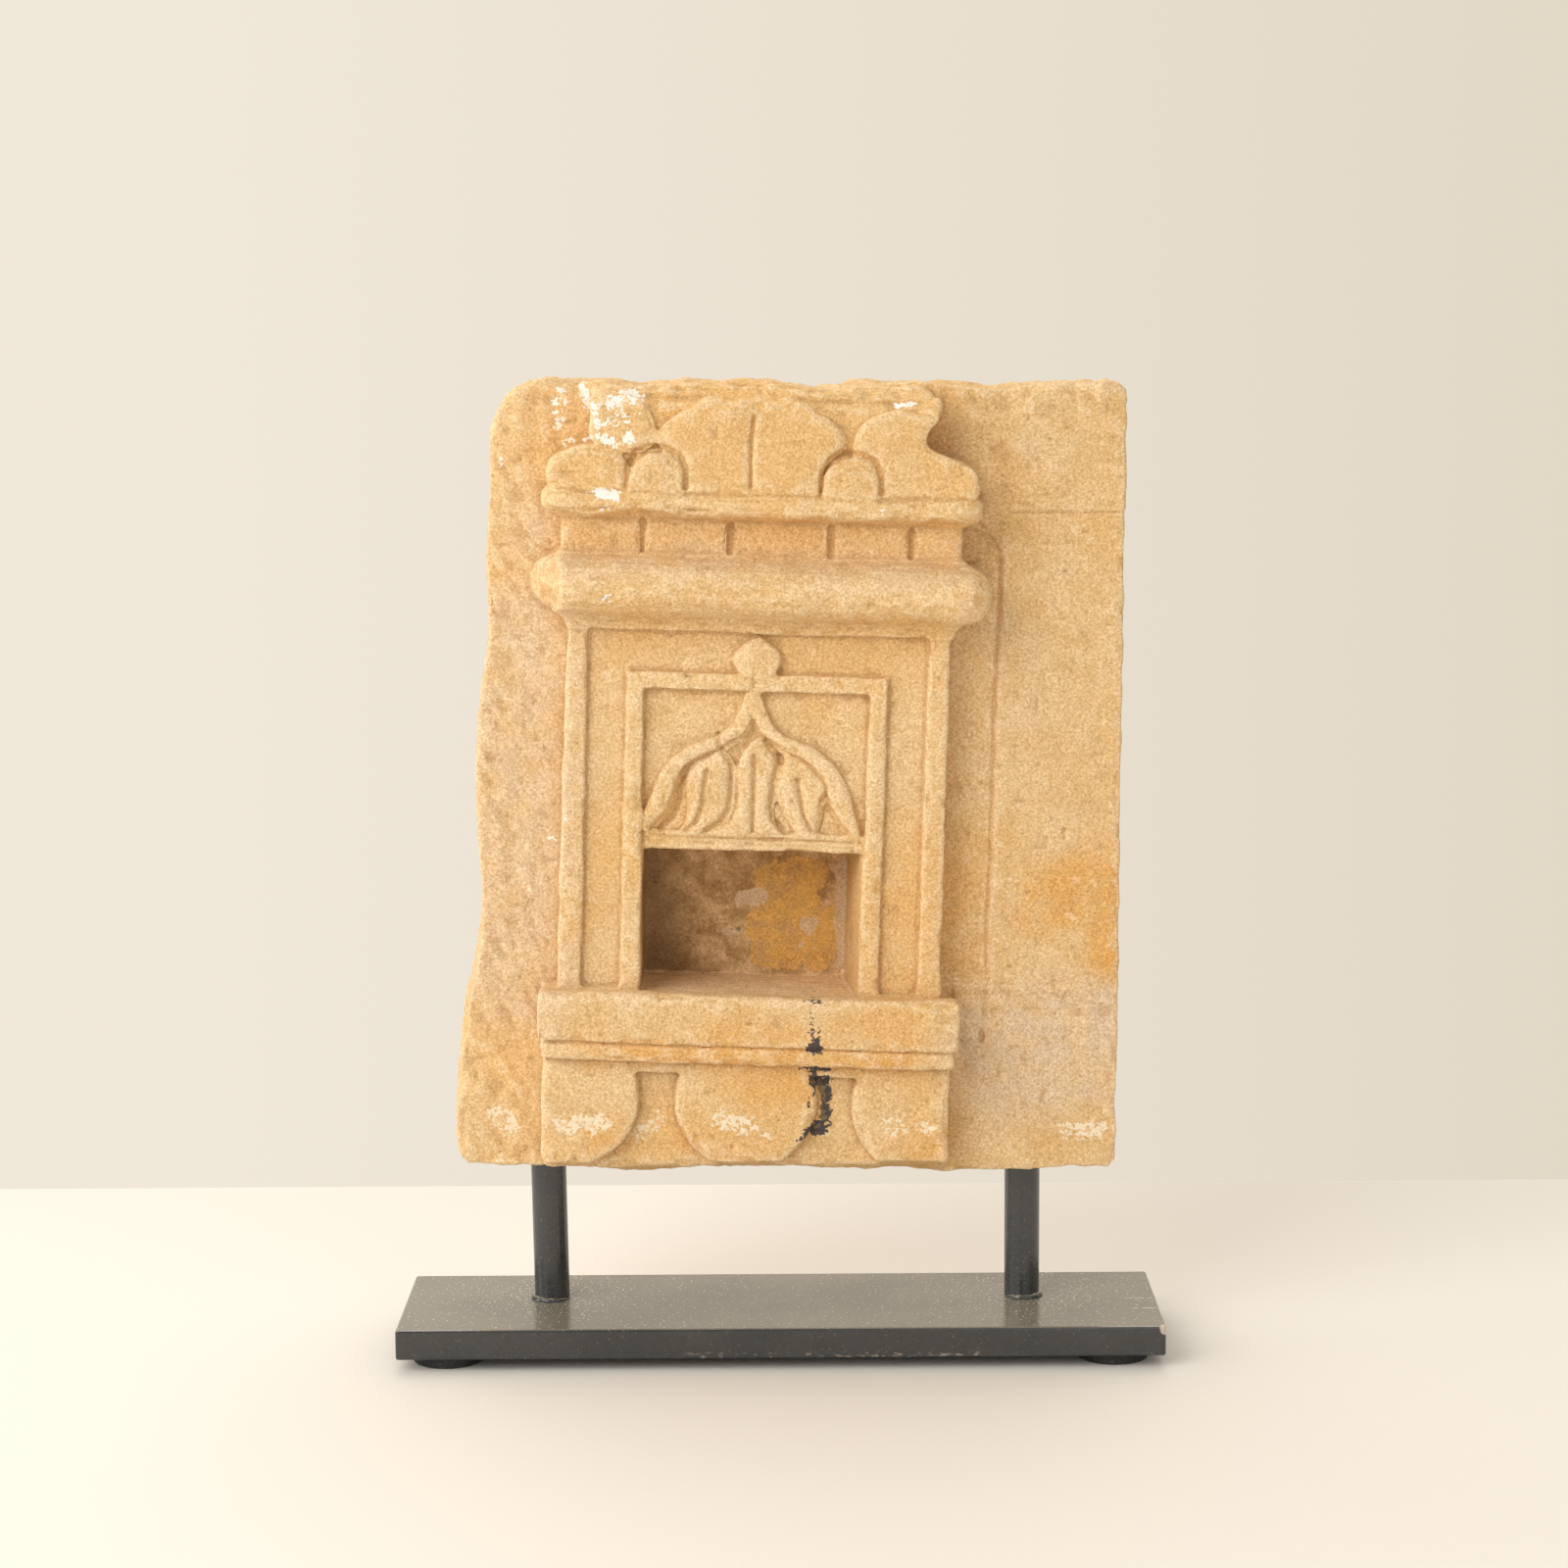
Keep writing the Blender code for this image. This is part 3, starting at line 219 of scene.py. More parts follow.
ORANGE = (
    (-6.5, -16, 12.5, -16, 9, 0.5), (40.5, -13.5, 57.5, -11, 11, 0.6), (114, 35, 137, 49, 12, 0.8),
    (139.5, 28, 140, 16.5, 8, 1.0), (-72, -61, -51, -58.5, 8, 0.6), (-20.5, -61, 2.5, -61.5, 9, 0.6),
    (3.5, -35.5, 22.5, -36, 8, 0.6), (65.5, -59.5, 76, -59.5, 8, 0.6), (-63.5, 64.5, -63.5, 26, 7, 0.4),
    (-102, 156.5, -101.5, 143.5, 5, 0.5), (-33, 226.5, 7, 227, 8, 0.5), (-61, -23, 60, -24, 4, 0.8),
    (58.5, 53, 58.5, 6.5, 7, 0.35), (83, 44, 84.5, 5, 9, 0.4), (-70, 176, 70, 176, 7, 0.45))
MAUVE = (
    (95, -18, 135, -11, 20, 0.95), (96, -38, 130, -37, 14, 0.8), (-90, 134, -90, 0, 20, 0.8),
    (-87, 176, -78, 170.5, 10, 0.7), (-70, 167.5, 77, 169, 3.0, 0.5), (110, 98, 126, 68, 20, 0.2))
OCHRE = (
    (9, 36.5, 23, 38, 7.5, 1.0), (10, 26, 20, 27, 8.5, 1.0), (5, 17, 31, 19, 8.0, 1.0),
    (6, 8, 28, 9, 7.5, 0.9))
PALE = (
    (-4, 28.5, 3, 29.5, 3.2, 1.0), (-10.5, 15, -3, 15.5, 2.0, 0.7), (35.5, 42, 38, 2.5, 3.4, 0.9),
    (19.5, 10, 24.5, 9, 2.4, 0.6), (23, 19, 24, 18, 4.0, 0.75))

# Each kind of mark: its strokes, how softly their sides fade, and the part of the stone that takes it.
MARKS = {
    "lime": (LIME, 0.8, "front"),
    "cream": (CREAM, 1.6, "front"),
    "drip": (DRIP, 1.0, "sill"),
    "khaki": (KHAKI, 0.9, "sill"),
    "orange": (ORANGE, 7.0, "front"),
    "mauve": (MAUVE, 12.0, "front"),
    "ochre": (OCHRE, 4.5, "niche_back"),
    "pale": (PALE, 2.4, "niche_back"),
}
MARKED_FACING = (-0.2, 0.3)
MARKED_SILL_Y_MM = (0.0, -8.0)
MARKED_NICHE_U_MM = (45.0, 43.0)
MARKED_NICHE_HEAD_V_MM = (59.0, 57.0)
MARKED_NICHE_BACK_Y_MM = (NICHE_BACK_Y_MM - 4.0, NICHE_BACK_Y_MM - 1.5)

# The niche's dirt with painted shade in it, which is thinner on its up-facing floor and on its lit right
# wall, and the dirt with a painted shadow at its left.
DIRT_AND_SHADE_Y_MM = (NICHE_MOUTH_Y_MM - 6.0, NICHE_BACK_Y_MM - 8.0)
FLOOR_FACING = (0.5, 0.9)
RIGHT_WALL_FACING = (0.5, 0.8)
LESS_DIRT_AND_SHADE_ON_FLOOR = 0.5
LESS_DIRT_AND_SHADE_ON_RIGHT_WALL = 0.85
LEFT_DIRT_AND_SHADOW_U_MM = (-14.0, -44.0)
LEFT_DIRT_AND_SHADOW_MIDDLE_V_MM = 25.0
LEFT_DIRT_AND_SHADOW_SLOPE = 0.25

# Single pits: U, V, radius and depth. Pits and lines are at their full depth over a share of their radius.
PITS = (
    (-27.5, 39, 1.5, 0.8), (11, 45.5, 1.4, 0.9), (3, 28, 1.5, 0.9), (35, 44, 1.2, 0.7),
    (15.5, 2.5, 1.6, 0.9), (37.5, 0.5, 1.8, 1.0), (-34, 108, 2.2, 0.6))
PIT_FLOOR_SHARE = 0.3
LINE_FLOOR_SHARE = 0.35
DEEPER_IN_ARCH = 0.35

# Lines cut into the stone: their radius, their depth, and their corners in U and V.
CARVED_LINES = (
    (1.3, 1.0, ((-18.5, 86), (-19.5, 78.5), (-20, 72), (-22.5, 65.5), (-26, 62.5))),
    (1.5, 1.2, ((-14.5, 100), (-13.5, 95), (-9, 88), (-9, 78.5), (-10, 71), (-13, 66), (-18.5, 62.5))),
    (1.2, 1.0, ((-0.5, 92), (-0.5, 63))),
    (1.5, 1.2, ((4, 98), (9, 92), (7, 82), (6.5, 73), (7.5, 67.5), (11, 63.5))),
    (1.2, 1.0, ((16.5, 83), (17.5, 76.5), (19, 70), (22.5, 63.5))),
    (1.5, 1.0, ((20, 90), (26, 84.5), (28, 80), (26, 75), (26, 68.5), (24.5, 63.5))),
    (1.6, 1.0, ((-26.5, 86), (-28.5, 80.5), (-29, 73.5), (-31, 68), (-35.5, 63))),
    (0.9, 0.8, ((-39, 60.3), (38.5, 59.3))),
    (0.8, 0.6, ((-40, 58.3), (37, 57.2))),
    (1.4, 0.8, ((91.5, -19), (93.0, 5), (91.8, 30), (92.8, 55), (92.2, 82), (91.5, 121), (92.3, 151),
                (92, 170))),
    (0.9, 0.5, ((-82, 168.2), (0, 168.6), (82, 168.2))),
    (0.7, 0.35, ((-80, 165.8), (0, 166.0), (80, 165.8))),
    (0.9, 0.5, ((-1.6, 124), (-1.6, 117.5))),
    (1.2, 1.3, ((-4, 222), (-4.8, 210), (-4.5, 196.5))),
    (1.5, 1.7, ((-51.5, 195), (-51, 203), (-48, 208), (-43, 210), (-37, 210), (-31.5, 207), (-29, 202),
                (-29, 195))),
    (1.5, 1.7, ((22, 195), (22, 202), (25, 207), (30, 209.5), (37, 209.5), (42, 207), (44.5, 202),
                (45, 195))))

# Weld beads: name, rod, where each starts and ends round the rod in degrees, thickness and seed.
WELDS = (
    ("weld_left", "rod_left", 80, 330, 1.5 * MM, 21),
    ("weld_right", "rod_right", -150, 60, 1.6 * MM, 22))
WELD_RINGS = 72
WELD_SIDES = 10
WELD_END_ROUNDING = 0.35
WELD_FLATNESS = 0.9

# Colours of the stone.
GOLD = (0.80, 0.535, 0.24, 1.0)
STRAW = (0.82, 0.605, 0.335, 1.0)
AMBER = (0.74, 0.48, 0.20, 1.0)
MAUVE_STAIN = (0.77, 0.60, 0.415, 1.0)
ORANGE_STAIN = (0.77, 0.43, 0.13, 1.0)
# The hollows' colour is dirt with painted shade, and the raised edges' colour is wear with a painted
# highlight.
HOLLOW_DIRT_AND_SHADE = (0.56, 0.35, 0.155, 1.0)
WORN_EDGE_AND_HIGHLIGHT = (0.93, 0.74, 0.48, 1.0)
# The next three colours are the niche's dirt with painted shade in it, and its left side's dirt with a
# painted shadow.
DARK_DIRT_AND_SHADE = (0.46, 0.28, 0.12, 1.0)
PALE_DIRT_AND_SHADE = (0.84, 0.60, 0.33, 1.0)
LEFT_DIRT_AND_SHADOW = (0.235, 0.15, 0.07, 1.0)
# The niche floor's colour is streaks with painted light on the up-facing floor.
LIT_STREAKED_FLOOR = (0.94, 0.71, 0.45, 1.0)
BRIGHT_OCHRE = (0.86, 0.53, 0.15, 1.0)
DULL_OCHRE = (0.70, 0.44, 0.17, 1.0)
PALE_PATCH = (0.80, 0.635, 0.43, 1.0)
BROWN_TINT = (0.72, 0.595, 0.43, 1.0)
PALE_TINT = (1.17, 1.19, 1.27, 1.0)
DARK_GRAIN = (0.42, 0.255, 0.11, 1.0)
CREAM_PATCH = (0.92, 0.80, 0.60, 1.0)
WHITE_LIME = (0.94, 0.90, 0.82, 1.0)
BLACK_TAR = (0.045, 0.042, 0.050, 1.0)
KHAKI_TAR = (0.22, 0.17, 0.085, 1.0)

# Colours of the stand.
DARK_PAINT = (0.018, 0.020, 0.021, 1.0)
LIGHT_PAINT = (0.027, 0.028, 0.028, 1.0)
# The plate top's colour is dust with a painted sheen.
PLATE_DUST_AND_SHEEN = (0.44, 0.39, 0.30, 1.0)
STONE_DUST = (0.80, 0.72, 0.58, 1.0)
BARE_STEEL = (0.66, 0.56, 0.42, 1.0)
BLACK_RUBBER = (0.022, 0.022, 0.022, 1.0)
DUSTY_RUBBER = (0.075, 0.068, 0.058, 1.0)

# Dusty, scratched and chipped places on the stand.
# A scratch is its middle in Y, half its width, and where it starts along X.
LEFT_ROD_FOOT = (-0.0917, 0.0065, 0.017)
RIGHT_ROD_FOOT = (0.0968, 0.0065, 0.017)
DUST_REACH = (0.050, 0.010)
FIRST_SCRATCH = (0.0002, 0.0005, (0.1360, 0.1400))
SECOND_SCRATCH = (-0.0135, 0.0006, (0.1380, 0.1410))
CHIPPED_CORNER = (0.150, -0.0375, 0.016)
CHIP_REACH = (0.0048, 0.0040)
CHIP_UNEVENNESS = 0.004
SCUFF_Z = (0.0085, 0.0060)
SCUFF_Y = (-0.0368, -0.0374)
SCUFF_X = 0.020
SCUFF_HALF = 0.075

# Floor, backdrop and lights.
FLOOR_BACK_Y = 0.2417
FLOOR_FRONT_Y = -2.5
FLOOR_HALF = 2.5
FLOOR_COLOUR = (0.84, 0.80, 0.74, 1.0)
BACKDROP_LEFT_COLOUR = (0.875, 0.805, 0.70, 1.0)
BACKDROP_RIGHT_COLOUR = (0.76, 0.685, 0.565, 1.0)
SURROUND_COLOUR = (0.35, 0.335, 0.31, 1.0)
BACKDROP_ACROSS = (-0.18, 0.24)
SURROUND_TO_BACKDROP = (-0.4, 0.7)
OBJECT_MIDDLE = (0.0, 0.0, 0.22)
BEHIND_OBJECT = (0.0, 0.15, 0.0)
KEY_WHITE = (1.0, 0.98, 0.95)
SOFT_WHITE = (1.0, 0.98, 0.96)

# Each light: name, place, target, width, power in watts and colour.
LIGHTS = (
    ("key", (-1.5, -1.7, 1.6), OBJECT_MIDDLE, 1.8, 46.0, KEY_WHITE),
    ("side", (-1.55, -0.20, 0.55), OBJECT_MIDDLE, 1.0, 8.0, SOFT_WHITE),
    ("fill", (0.9, -1.7, 0.6), OBJECT_MIDDLE, 1.6, 8.0, SOFT_WHITE),
    ("top", (0.0, 0.55, 1.5), BEHIND_OBJECT, 1.2, 8.0, SOFT_WHITE))

# Large numbers that scatter whole-number cells into even noise.
CELL_SCATTER = (73856093, 19349663, 83492791)
SEED_SCATTER = 40503
MIX_SCATTER = 1274126177
MIX_SHIFTS = (13, 16)
LATTICE_TOP = 0xFFFF


def lattice(cells, seed):
    """A fixed pseudo-random number from -1 to 1 for each whole-number cell."""
    mixed = seed * SEED_SCATTER
    for axis, scatter in enumerate(CELL_SCATTER):
        mixed = mixed ^ (cells[:, axis] * scatter)
    mixed = (mixed ^ (mixed >> MIX_SHIFTS[0])) * MIX_SCATTER
    mixed = (mixed ^ (mixed >> MIX_SHIFTS[1])) & LATTICE_TOP
    return mixed / (0.5 * LATTICE_TOP) - 1.0


def noise(points, size, seed):
    """Smooth noise from -1 to 1 at the points, with features about as wide as size."""
    scaled = points / size
    cells = np.floor(scaled).astype(np.int64)
    part = scaled - cells
    part = part * part * (3.0 - 2.0 * part)
    total = np.zeros(len(points))
    for corner in np.ndindex(2, 2, 2):
        weight = np.ones(len(points))
        for axis in range(3):
            weight *= part[:, axis] if corner[axis] else 1.0 - part[:, axis]
        total += weight * lattice(cells + np.array(corner), seed)
    return total


def layered(points, layers):
    """Layers of noise added up, each with its own strength, size and seed."""
    total = np.zeros(len(points))
    for strength, size, seed in layers:
        total += strength * noise(points, size, seed)
    return total


def step(value, low, high):
    """Rises smoothly from 0 at low to 1 at high."""
    share = np.clip((value - low) / (high - low), 0.0, 1.0)
    return share * share * (3.0 - 2.0 * share)


def near(value, middle, reach):
    """1 close to a middle value, 0 away from it."""
    return step(np.abs(value - middle), *reach)


def spots(points, depth, size, seed, limits):
    """The depth of scattered chips or pits."""
    return depth * step(noise(points, size, seed), *limits)


def carving_place(points):
    """U and V in millimetres of points in millimetres."""
    across = points[:, 0] - CARVING_X_MM
    up = points[:, 2] - CARVING_Z_MM
    u = across * math.cos(CARVING_LEAN) - up * math.sin(CARVING_LEAN)
    v = across * math.sin(CARVING_LEAN) + up * math.cos(CARVING_LEAN)
    return u, v


def inside_area(u, v, area):
    """1 well inside an area of the carving, 0 outside it."""
    sides, foot, head = area
    return step(np.abs(u), *sides) * step(v, *foot) * step(v, *head)


def in_niche(u, v, y):
    """1 between the niche's walls, under its head and in front of the stone behind it, with no lower end."""
    return step(np.abs(u), *NICHE_WALL_U_MM) * step(v, *NICHE_HEAD_V_MM) * step(y, *NICHE_END_Y_MM)


def niche_depth_share(y):
    """0 at the niche's mouth, 1 at its back."""
    return np.clip((y - NICHE_MOUTH_Y_MM) / (NICHE_BACK_Y_MM - NICHE_MOUTH_Y_MM), 0.0, 1.0)


def stroke_distance(u, v, stroke):
    """How far each point lies from a stroke's middle line."""
    start = np.array(stroke[0:2], float)
    along = np.array(stroke[2:4], float) - start
    from_start = np.stack((u, v), 1) - start
    share = np.clip(from_start @ along / max(along @ along, TINY), 0.0, 1.0)
    return np.linalg.norm(from_start - share[:, None] * along, axis=1)


def path_distance(u, v, path):
    """How far each point lies from a line drawn through a path's corners."""
    parts = [stroke_distance(u, v, (*start, *end)) for start, end in zip(path, path[1:])]
    return np.min(parts, axis=0)


def cover(u, v, strokes, softness):
    """How thickly the strokes cover each point: full well inside the radius, 0 well outside it."""
    most = np.zeros(len(u))
    for stroke in strokes:
        radius, strength = stroke[4:6]
        reach = step(stroke_distance(u, v, stroke), radius + softness, max(radius - softness, 0.0))
        most = np.maximum(most, strength * reach)
    return most


def read_rows(items, name, width, kind):
    """A row of numbers for each of a mesh's points or edges."""
    values = np.empty(len(items) * width, kind)
    items.foreach_get(name, values)
    return values.reshape(-1, width)


def mesh_points(mesh):
    return read_rows(mesh.vertices, "co", 3, np.float32).astype(float)


def mesh_normals(mesh):
    return read_rows(mesh.vertex_normals, "vector", 3, np.float32).astype(float)


def mesh_net(mesh):
    """The mesh's edges, and how many of them meet at each point."""
    edges = read_rows(mesh.edges, "vertices", 2, np.int32)
    counts = np.bincount(edges.ravel(), minlength=len(mesh.vertices)).astype(float)
    return edges, counts


def neighbour_mean(values, net):
    """The mean of each point's neighbours."""
    edges, counts = net
    first, second = edges[:, 0], edges[:, 1]
    total = np.empty_like(values)
    for axis in range(values.shape[1]):
        column = values[:, axis]
        total[:, axis] = np.bincount(first, column[second], len(values))
        total[:, axis] += np.bincount(second, column[first], len(values))
    return total / counts[:, None]


def evaluated_mesh(thing):
    """A mesh of its own with the object's modifiers applied."""
    thing_now = thing.evaluated_get(bpy.context.evaluated_depsgraph_get())
    return bpy.data.meshes.new_from_object(thing_now)


def apply_modifiers(thing):
    """Puts the evaluated mesh in the place of the object's own."""
    mesh = evaluated_mesh(thing)
    old = thing.data
    thing.modifiers.clear()
    thing.data = mesh
    bpy.data.meshes.remove(old)


def wear(points, normals, net):
    """Rounds the outer edges more than the inner ones."""
    for _ in range(WEAR_ROUNDS):
        pull = neighbour_mean(points, net) - points
        outward = (pull * normals).sum(1)
        points = points + pull * np.where(outward < 0.0, WEAR_OUT, WEAR_IN)[:, None]
    return points


def height_above(points, normals, net, rounds):
    """How far each point stands out of its surroundings, in millimetres."""
    smooth = points
    for _ in range(rounds):
        smooth = neighbour_mean(smooth, net)
    return ((points - smooth) * normals).sum(1) / MM


def streaked(points, slant, squeeze):
    """The points turned about Y and squeezed, so that noise draws into slanting streaks."""
    x, y, z = points.T
    along, across = slant
    return np.stack((x * along + z * across, y, z * along - x * across), 1) * np.array(squeeze)


class Surface:
    """The stone's points in millimetres, where they lie on the carving and how far they face each way."""

    def __init__(self, points, normals):
        self.points = points
        self.normals = normals
        self.x, self.y, self.z = points.T
        self.u, self.v = carving_place(points)
        self.front = step(-normals[:, 1], *FRONT_FACING)
        self.behind = step(normals[:, 1], *BACK_FACING)
        self.flat = self.front * near(self.y, GROUND_Y_MM, FLAT_REACH_MM)
        self.arch = inside_area(self.u, self.v, ARCH)


def roughness(stone):
    """The uneven surface, roughest on the broken top, the broken left side, the bottom and the back."""
    seen = step(-stone.normals[:, 1], *SIDE_OR_FRONT_FACING)
    out = layered(stone.points, SWELL) + seen * layered(stone.points, FINE_SWELL)
    broken = np.maximum(step(stone.v, *TOP_BREAK_V_MM), step(stone.z, *TOP_BREAK_Z_MM))
    left = step(stone.x, *LEFT_BREAK_X_MM) * step(stone.normals[:, 0], *LEFT_FACING)
    ragged = np.maximum(broken, LEFT_RAGGED_SHARE * left)
    ragged = np.maximum(ragged, UNDERSIDE_RAGGED_SHARE * step(stone.z, *UNDERSIDE_Z_MM))
    ragged = np.maximum(ragged, BACK_RAGGED_SHARE * stone.behind)
    out += ragged * layered(stone.points, RAGGED)
    out += left * layered(stone.points, LEFT_BREAK)
    return out + broken * layered(stone.points, TOP_CRUMBS)


def outline_cut(stone, crease):
    """The extra depth of the carved outlines, less over the frame, in the arch and at the border."""
    depth = OUTLINE_CUT_MM - LESS_OVER_FRAME_MM * step(stone.v, *OVER_FRAME_V_MM)
    depth -= LESS_IN_ARCH_MM * stone.arch + LESS_AT_BORDER_MM * step(stone.u, *AT_BORDER_U_MM)
    return depth * stone.front * step(stone.y, *OUTLINE_CUT_Y_MM) * step(-crease, *OUTLINE_CREASE_MM)


def tool_marks(stone):
    """Tool marks on the block's flat, strongest at the left, on its back, and along the roll."""
    slanting = streaked(stone.points, FRONT_SLANT, FRONT_SQUEEZE)
    left_flat = stone.flat * step(stone.u, *LEFT_FLAT_U_MM)
    out = stone.flat * layered(slanting, FLAT_TOOL_MARKS)
    out += left_flat * (layered(slanting, LEFT_TOOL_MARKS) + layered(stone.points, LEFT_DENTS))
    dressing = streaked(stone.points, BACK_SLANT, BACK_SQUEEZE)
    out += stone.behind * layered(dressing, BACK_TOOL_MARKS)
    rolled = near(stone.v, ROLL_LINES_V_MM, ROLL_LINES_REACH_MM) * step(stone.y, *ROLL_LINES_Y_MM)
    along = np.stack((stone.u * ROLL_LINES_SQUEEZE, stone.y, stone.v), 1)
    return out + rolled * layered(along, ROLL_LINES)


def chip_depth(stone, height):
    """Chips along the outer edges, above all the cornice's, and small pits all over."""
    edge = step(height, *EDGE_HEIGHT_MM)
    cornice = near(stone.v, CORNICE_V_MM, CORNICE_REACH_MM) * step(stone.y, *CORNICE_Y_MM)
    depth = edge * spots(stone.points, *EDGE_CHIPS) + cornice * edge * spots(stone.points, *CORNICE_CHIPS)
    return depth + spots(stone.points, *SMALL_PITS) + spots(stone.points, *LARGE_PITS)


def right_step(stone):
    """A faint step across the right of the block, with the part above a little prouder."""
    right = stone.flat * step(stone.x, *RIGHT_FLAT_X_MM)
    line = STEP_LINE_DEPTH_MM * near(stone.z, STEP_LINE_Z_MM, STEP_LINE_REACH_MM)
    return right * (STEP_HEIGHT_MM * step(stone.z, *STEP_Z_MM) - line)


def sill_wear(stone):
    """The sill's worn right end, and its ragged edge at the niche's mouth."""
    end = stone.front * step(stone.u, *SILL_END_U_MM) * near(stone.v, SILL_END_V_MM, SILL_END_REACH_MM)
    lip = near(stone.y, SILL_LIP_Y_MM, SILL_LIP_REACH_MM) * step(np.abs(stone.v), *SILL_LIP_V_MM)
    lip *= step(np.abs(stone.u), *SILL_LIP_U_MM)
    depth = end * (SILL_END_WEAR_MM + layered(stone.points, SILL_END_ROUGHNESS))
    return depth + lip * spots(stone.points, *SILL_LIP_CHIPS)


def pit_depth(stone):
    """The single pits in the niche's back and elsewhere."""
    depth = np.zeros(len(stone.points))
    for u, v, radius, deepest in PITS:
        distance = np.hypot(stone.u - u, stone.v - v)
        depth += deepest * stone.front * step(distance, radius, PIT_FLOOR_SHARE * radius)
    return depth


def relief(stone, height, crease):
    """How far the stone's surface is moved out along its normal, in millimetres."""
    out = roughness(stone) - outline_cut(stone, crease) + tool_marks(stone)
    out += right_step(stone) - chip_depth(stone, height) - sill_wear(stone)
    niche_back = in_niche(stone.u, stone.v, stone.y) * step(stone.y, *NICHE_BACK_FACE_Y_MM)
    out += niche_back * layered(stone.points, NICHE_BACK_ROUGHNESS) - pit_depth(stone)

    # No cut goes so deep that a narrow groove's walls would cross.
    deepest = DEEPEST_CUT_MM - stone.arch * (DEEPEST_CUT_MM - DEEPEST_ARCH_CUT_MM)
    return np.maximum(out, -deepest)


def line_depth(points):
    """How deep the lines are cut straight into the front, in millimetres."""
    u, v = carving_place(points)
    depth = np.zeros(len(points))
    for radius, deepest, path in CARVED_LINES:
        groove = step(path_distance(u, v, path), radius, LINE_FLOOR_SHARE * radius)
        depth = np.maximum(depth, deepest * groove)
    return depth * (1.0 + DEEPER_IN_ARCH * inside_area(u, v, ARCH)) * step(points[:, 1], *SHOWN_Y_MM)


def reshaped(points):
    """The solid's points with a few of its forms corrected.

    The ground between the crown's petals and inside the arch is shallower, and the border strip fades out at
    its foot. The cornice waves, the roll's left end is a blunt point, and the niche's right wall closes in.
    """
    u, v = carving_place(points)
    y = points[:, 1]
    shown = step(y, *SHOWN_Y_MM)
    crown = inside_area(u, v, CROWN_GROUND) * step(y, *CROWN_GROUND_Y_MM)
    crown_depth = np.clip(y - PETAL_Y_MM, 0.0, CROWN_BACK_Y_MM - PETAL_Y_MM)
    arch_depth = np.clip(y - PANEL_Y_MM, 0.0, ARCH_GROUND_DEPTH_MM)
    border = step(u, *BORDER_LEFT_U_MM) * step(u, *BORDER_RIGHT_U_MM) * step(v, *BORDER_FADE_V_MM)
    border_depth = np.clip(y - GROUND_Y_MM, 0.0, BORDER_DEPTH_MM)
    moved = points.copy()
    moved[:, 1] -= CROWN_FILL_SHARE * crown * crown_depth
    moved[:, 1] -= ARCH_FILL_SHARE * shown * inside_area(u, v, ARCH_GROUND) * arch_depth
    moved[:, 1] -= shown * border * border_depth

    cornice = near(v, WAVE_V_MM, WAVE_REACH_MM) * step(y, *WAVE_Y_MM)
    moved[:, 2] += cornice * layered(points * np.array((1.0, 0.0, 0.0)), WAVE)

    # The height of a round end less that of a pointed one is what the break has taken.
    share = np.clip(np.abs(v - ROLL_V_MM) / ROLL_RADIUS_MM, 0.0, 1.0)
    pointed = (np.sqrt(1.0 - share * share) - (1.0 - share)) * ROLL_RADIUS_MM
    moved[:, 0] += ROLL_POINT_SHARE * pointed * step(u, *ROLL_END_U_MM) * step(y, *ROLL_END_Y_MM)

    inside = in_niche(u, v, y) * step(v, *NICHE_FOOT_V_MM)
    moved[:, 0] -= NICHE_CLOSING_MM * inside * niche_depth_share(y) * step(u, *NICHE_CLOSING_U_MM)
    return moved


def rod_line(name):
    """A rod's middle in X and Y at its bottom, their slope along Z, its bottom and top Z, and its radius."""
    points = mesh_points(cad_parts[name].data)
    bottom, top = points[:, 2].min(), points[:, 2].max()
    low_ring = points[points[:, 2] < bottom + MM]
    high_ring = points[points[:, 2] > top - MM]
    start = (low_ring.min(0) + low_ring.max(0)) / 2.0
    end = (high_ring.min(0) + high_ring.max(0)) / 2.0
    slope = (end - start)[:2] / (end[2] - start[2])
    radius = (low_ring[:, 1].max() - low_ring[:, 1].min()) / 2.0
    return start[:2], slope, bottom, top, radius


def clear_of_rods(points):
    """Pushes the sockets' walls and ends out, so that the worn stone keeps clear of the rods."""
    for name in ("rod_left", "rod_right"):
        start, slope, bottom, top, radius = rod_line(name)
        middle = start + slope * (points[:, 2:3] - bottom)
        away = points[:, :2] - middle
        distance = np.linalg.norm(away, axis=1)
        beside = (distance < radius + ROD_CLEARANCE) & (points[:, 2] < top - MM)
        push = (radius + ROD_CLEARANCE) / np.maximum(distance[beside], TINY)
        points[beside, :2] = middle[beside] + away[beside] * push[:, None]
        over = (distance < radius + SOCKET_REACH) & (points[:, 2] >= top - MM)
        over &= points[:, 2] < top + SOCKET_REACH
        points[over, 2] = np.maximum(points[over, 2], top + ROD_CLEARANCE)
    return points


